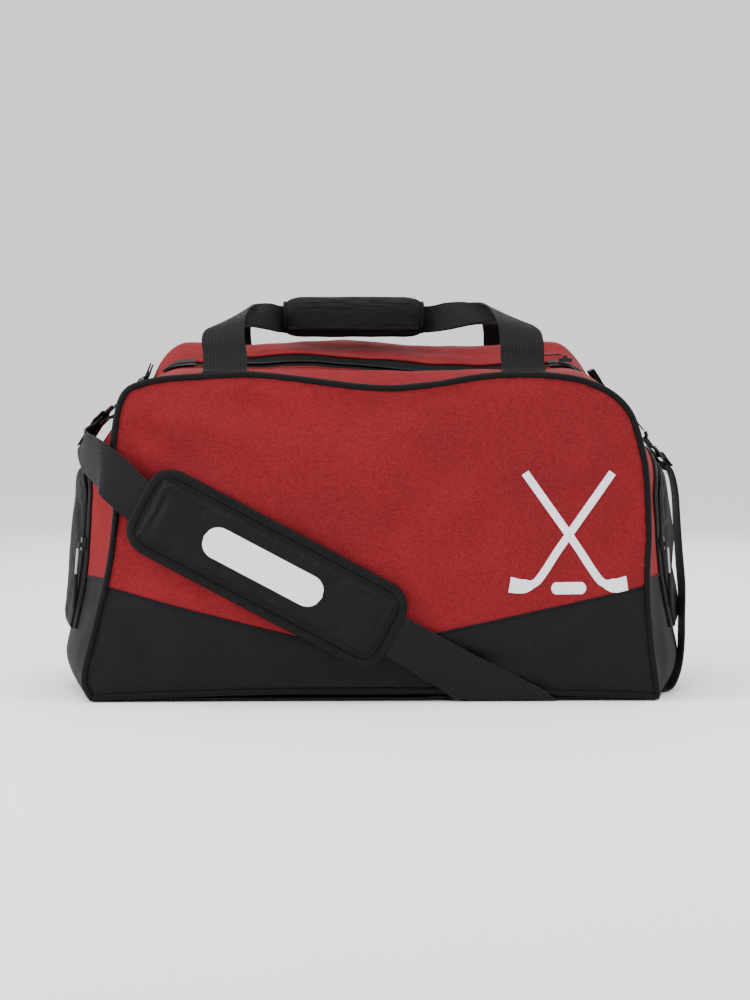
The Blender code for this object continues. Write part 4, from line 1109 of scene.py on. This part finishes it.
# From the left hook, round the front left edge, through the pad, under the base and up the right end.
STRAP_ROUTE = [(Vector(p), Vector(w)) for p, w in [
    ((-0.2620, -0.0660, 0.2465), (0.0091, -0.0120, 0.0130)),
    ((-0.2678, -0.0767, 0.2406), (0.0091, -0.0120, 0.0130)),
    ((-0.2680, -0.1020, 0.2290), (0.0020, -0.0085, 0.0182)),
    ((-0.2520, -0.1370, 0.2180), (0.0000, -0.0020, 0.0225)),
    ((-0.2455, -0.1490, 0.2125), (0.0040, 0.0000, 0.0220)),
    ((-0.2330, -0.1550, 0.2020), (0.0085, 0.0000, 0.0195)),
    on_pad(-0.1300), on_pad(-0.0950), on_pad(-0.0500), on_pad(0.0000), on_pad(0.0500), on_pad(0.0950),
    on_pad(0.1300),
    ((0.0330, -0.1545, 0.0520), (0.0100, 0.0000, 0.0175)),
    ((0.0510, -0.1520, 0.0415), (0.0176, 0.0000, 0.0137)),
    ((0.0700, -0.1490, 0.0305), (0.0284, 0.0000, 0.0085)),
    ((0.0880, -0.1468, 0.0210), (0.0383, 0.0000, 0.0038)),
    ((0.1030, -0.1458, 0.0130), (0.0455, 0.0000, 0.0005)),
    ((0.1120, -0.1452, 0.0070), (0.0464, 0.0000, 0.0000)),
    ((0.1175, -0.1430, 0.0024), (0.0464, 0.0000, 0.0000)),
    ((0.1230, -0.1365, 0.0011), (0.0464, 0.0000, 0.0000)),
    ((0.1320, -0.1290, 0.0011), (0.0455, -0.0004, 0.0000)),
    ((0.1500, -0.1205, 0.0011), (0.0401, -0.0030, 0.0000)),
    ((0.1750, -0.1085, 0.0011), (0.0311, -0.0073, 0.0000)),
    ((0.2050, -0.0940, 0.0011), (0.0194, -0.0128, 0.0000)),
    ((0.2350, -0.0795, 0.0011), (0.0086, -0.0180, 0.0000)),
    ((0.2620, -0.0665, 0.0011), (0.0000, -0.0222, 0.0000)),
    ((0.2770, -0.0600, 0.0014), (0.0000, -0.0222, 0.0000)),
    ((0.2850, -0.0565, 0.0075), (0.0000, -0.0222, 0.0000)),
    ((0.2915, -0.0520, 0.0220), (0.0000, -0.0215, 0.0030)),
    ((0.2950, -0.0450, 0.0400), (0.0000, -0.0195, 0.0070)),
    ((0.2965, -0.0370, 0.0600), (0.0000, -0.0185, 0.0080)),
    ((0.2985, -0.0250, 0.0900), (0.0000, -0.0187, 0.0070)),
    ((0.2975, -0.0120, 0.1250), (0.0000, -0.0192, 0.0050)),
    ((0.2965, -0.0030, 0.1560), (0.0000, -0.0198, 0.0025)),
    ((0.2950, 0.0010, 0.1850), (0.0000, -0.0200, 0.0000)),
    ((0.2904, 0.0010, 0.2045), (0.0000, -0.0200, 0.0000)),
    ((0.2830, 0.0010, 0.2140), (0.0000, -0.0200, 0.0000)),
]]


def pad_point(along, across, out):
    return PAD_CENTRE + PAD_ALONG * along + PAD_ACROSS * across + Vector((0, -out, 0))


def pad_outline(inset, count=160):
    """Points round the pad's rounded outline, as (along, across)."""
    length, wide = PAD_SIZE[0] / 2 - inset, PAD_SIZE[2] / 2 - inset
    corner = max(PAD_CORNER - inset, 0.004)
    path = []
    for cx, cz, start in ((1, 1, 0), (-1, 1, 90), (-1, -1, 180), (1, -1, 270)):
        for a in steps(start, start + 90, 12):
            path.append((cx * (length - corner) + corner * math.cos(math.radians(a)),
                         cz * (wide - corner) + corner * math.sin(math.radians(a))))
    path = np.array(path + path[:1])
    s = run_lengths(path)
    places = np.linspace(0, s[-1], count, endpoint=False)
    return np.stack([np.interp(places, s, path[:, i]) for i in (0, 1)], axis=1)


def pad_height(along, across):
    """The pad's front face: crowned foam that drops to the sewn edge."""
    length, wide = PAD_SIZE[0] / 2, PAD_SIZE[2] / 2
    edge = min(length - abs(along), wide - abs(across))
    crown = 0.0046 * float(smooth((edge - 0.006) / 0.010))
    groove = -0.0010 * math.exp(-((edge - 0.0105) / 0.0013) ** 2)
    soft = ripple((along, across, 0), 0.040, 0.0010, 6.0) * float(smooth(edge / 0.02))
    return 0.0010 + crown + groove + soft


def build_pad():
    rows, sewn = [], []
    for across in steps(-1, 1, 70):
        row = []
        for along in steps(-1, 1, 200):
            a, c = along * PAD_SIZE[0] / 2, across * PAD_SIZE[2] / 2
            # Rounded corners: pull the square grid's corners in to the rounded outline.
            over_a = abs(a) - (PAD_SIZE[0] / 2 - PAD_CORNER)
            over_c = abs(c) - (PAD_SIZE[2] / 2 - PAD_CORNER)
            if over_a > 0 and over_c > 0:
                shrink = max(over_a, over_c) / math.hypot(over_a, over_c)
                a = math.copysign(PAD_SIZE[0] / 2 - PAD_CORNER + over_a * shrink, a)
                c = math.copysign(PAD_SIZE[2] / 2 - PAD_CORNER + over_c * shrink, c)
            row.append(pad_point(a, c, pad_height(a, c)))
            edge = min(PAD_SIZE[0] / 2 - abs(a), PAD_SIZE[2] / 2 - abs(c))
            sewn.append(1.0 - float(smooth((edge - 0.008) / 0.006)))
        rows.append(row)
    rows = blown("pad_filling", rows, np.reshape(sewn, (71, 201)), (0, -1, 0), cap=0.0018)
    face = sheet("pad_face", rows, 0.0064, "pad_cloth", lambda p: (0, -1, 0))
    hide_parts("shoulder_pad")
    binding = tube("pad_binding", [pad_point(a, c, -0.0002) for a, c in pad_outline(0.0022)], 0.0048,
                   "binding", cyclic=True, sides=14, squash=(np.array([0.0, 1.0, 0.0]), 0.62))
    line = np.array([pad_point(a, c, 0.0024) for a, c in pad_outline(0.0068)])
    line = np.vstack([line, line[:1]])
    thread = stitches("pad_stitches", [(line, np.broadcast_to((0, -1.0, 0), line.shape))], pitch=0.0032)
    bar, half_length, half_height, straight = [], 0.060, 0.0145, 0.0455
    for t in steps(-1, 1, 60):
        past = max(0.0, abs(t) * half_length - straight)
        reach = half_height * math.sqrt(max(0.0, 1 - past ** 2 / half_height ** 2))
        along = -0.004 + half_length * t
        bar.append([pad_point(along, v * reach, pad_height(along, v * reach) + 0.0022)
                    for v in steps(-1, 1, 12)])
    mark = sheet("pad_print", bar, 0.0024, "print", lambda p: (0, -1, 0))
    pieces = [face, binding, thread, mark]
    for piece in pieces:
        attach(piece, "strap_pad")
    return pieces


def build_strap():
    strap = ribbon("shoulder_strap_webbing", STRAP_ROUTE, 0.0017, "webbing", per_span=8, columns=14)
    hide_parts("shoulder_strap")
    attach(strap, "shell")
    pad_pieces = build_pad()


# ---- print on the front ----
def build_print():
    """Crossed hockey sticks over a puck, in white."""
    def strip(name, centre, half, columns=4):
        centre, half = np.asarray(centre, float), np.asarray(half, float)
        tangent = np.gradient(centre, axis=0)
        tangent /= np.linalg.norm(tangent, axis=1)[:, None]
        side = np.stack([-tangent[:, 1], tangent[:, 0]], axis=1) * half[:, None]
        share = steps(-1, 1, columns)
        x = centre[:, None, 0] + side[:, None, 0] * share
        z = centre[:, None, 1] + side[:, None, 1] * share
        piece = sheet(name, on_face(FRONT_RIM, -1, 1.0, x, z, 0.0006), 0.0003, "print", lambda p: (0, -1, 0))
        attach(piece, "shell")
    middle = np.array([0.1760, 0.1530])
    for label, sign in (("left", -1), ("right", 1)):
        route = through([(sign * 0.040, 0.056), (sign * -0.004, -0.006), (sign * -0.024, -0.036),
                         (sign * -0.032, -0.0445), (sign * -0.043, -0.0470), (sign * -0.054, -0.0455)], 12)
        half = np.interp(np.linspace(0, 1, len(route)), [0, 0.62, 0.74, 1.0],
                         [0.0036, 0.0036, 0.0062, 0.0072])
        strip("stick_print_" + label, route + middle, half)
    puck = [(x, 0.1040) for x in steps(0.1600, 0.1920, 24)]
    past = [max(0.0, abs(x - 0.1760) - 0.0115) for x, _ in puck]
    width = [0.0055 * math.sqrt(max(0.05, 1 - p ** 2 / 0.0045 ** 2)) for p in past]
    strip("puck_print", puck, width)


def finish_metal():
    """Carried-over hardware takes worn metal, rubber and nickel finishes."""
    kinds = {"main_slider": "dark_metal", "main_pull": "dark_metal", "main_pull_cord": "rubber",
             "base_board": "board"}
    pairs = {"pocket_slider": "dark_metal", "d_ring": "dark_metal", "snap_hook": "dark_metal",
             "hook_gate": "silver", "pocket_pull": "silver", "pocket_pull_cord": "rubber",
             "strap_loop": "binding", "ring_tab": "binding"}
    for side in ("left", "right"):
        kinds.update({f"{part}_{side}": kind for part, kind in pairs.items()})
    for name, kind in kinds.items():
        node = bpy.data.objects[name]
        if not node.material_slots:
            node.data.materials.append(MATERIALS[kind])
        for slot in node.material_slots:
            slot.material = MATERIALS[kind]


studio()
build_strap()
build_face("front", FRONT_RIM, -1, 1.0)
build_face("rear", RIM, 1, 8.0)
build_piping("front", FRONT_RIM, -1)
build_piping("rear", RIM, 1)
build_ends()
build_top()
build_base()
build_pocket("left", -1)
build_pocket("right", 1)
build_handle("front_handle", -1)
build_handle("rear_handle", 1)
build_grip()
build_print()
finish_metal()
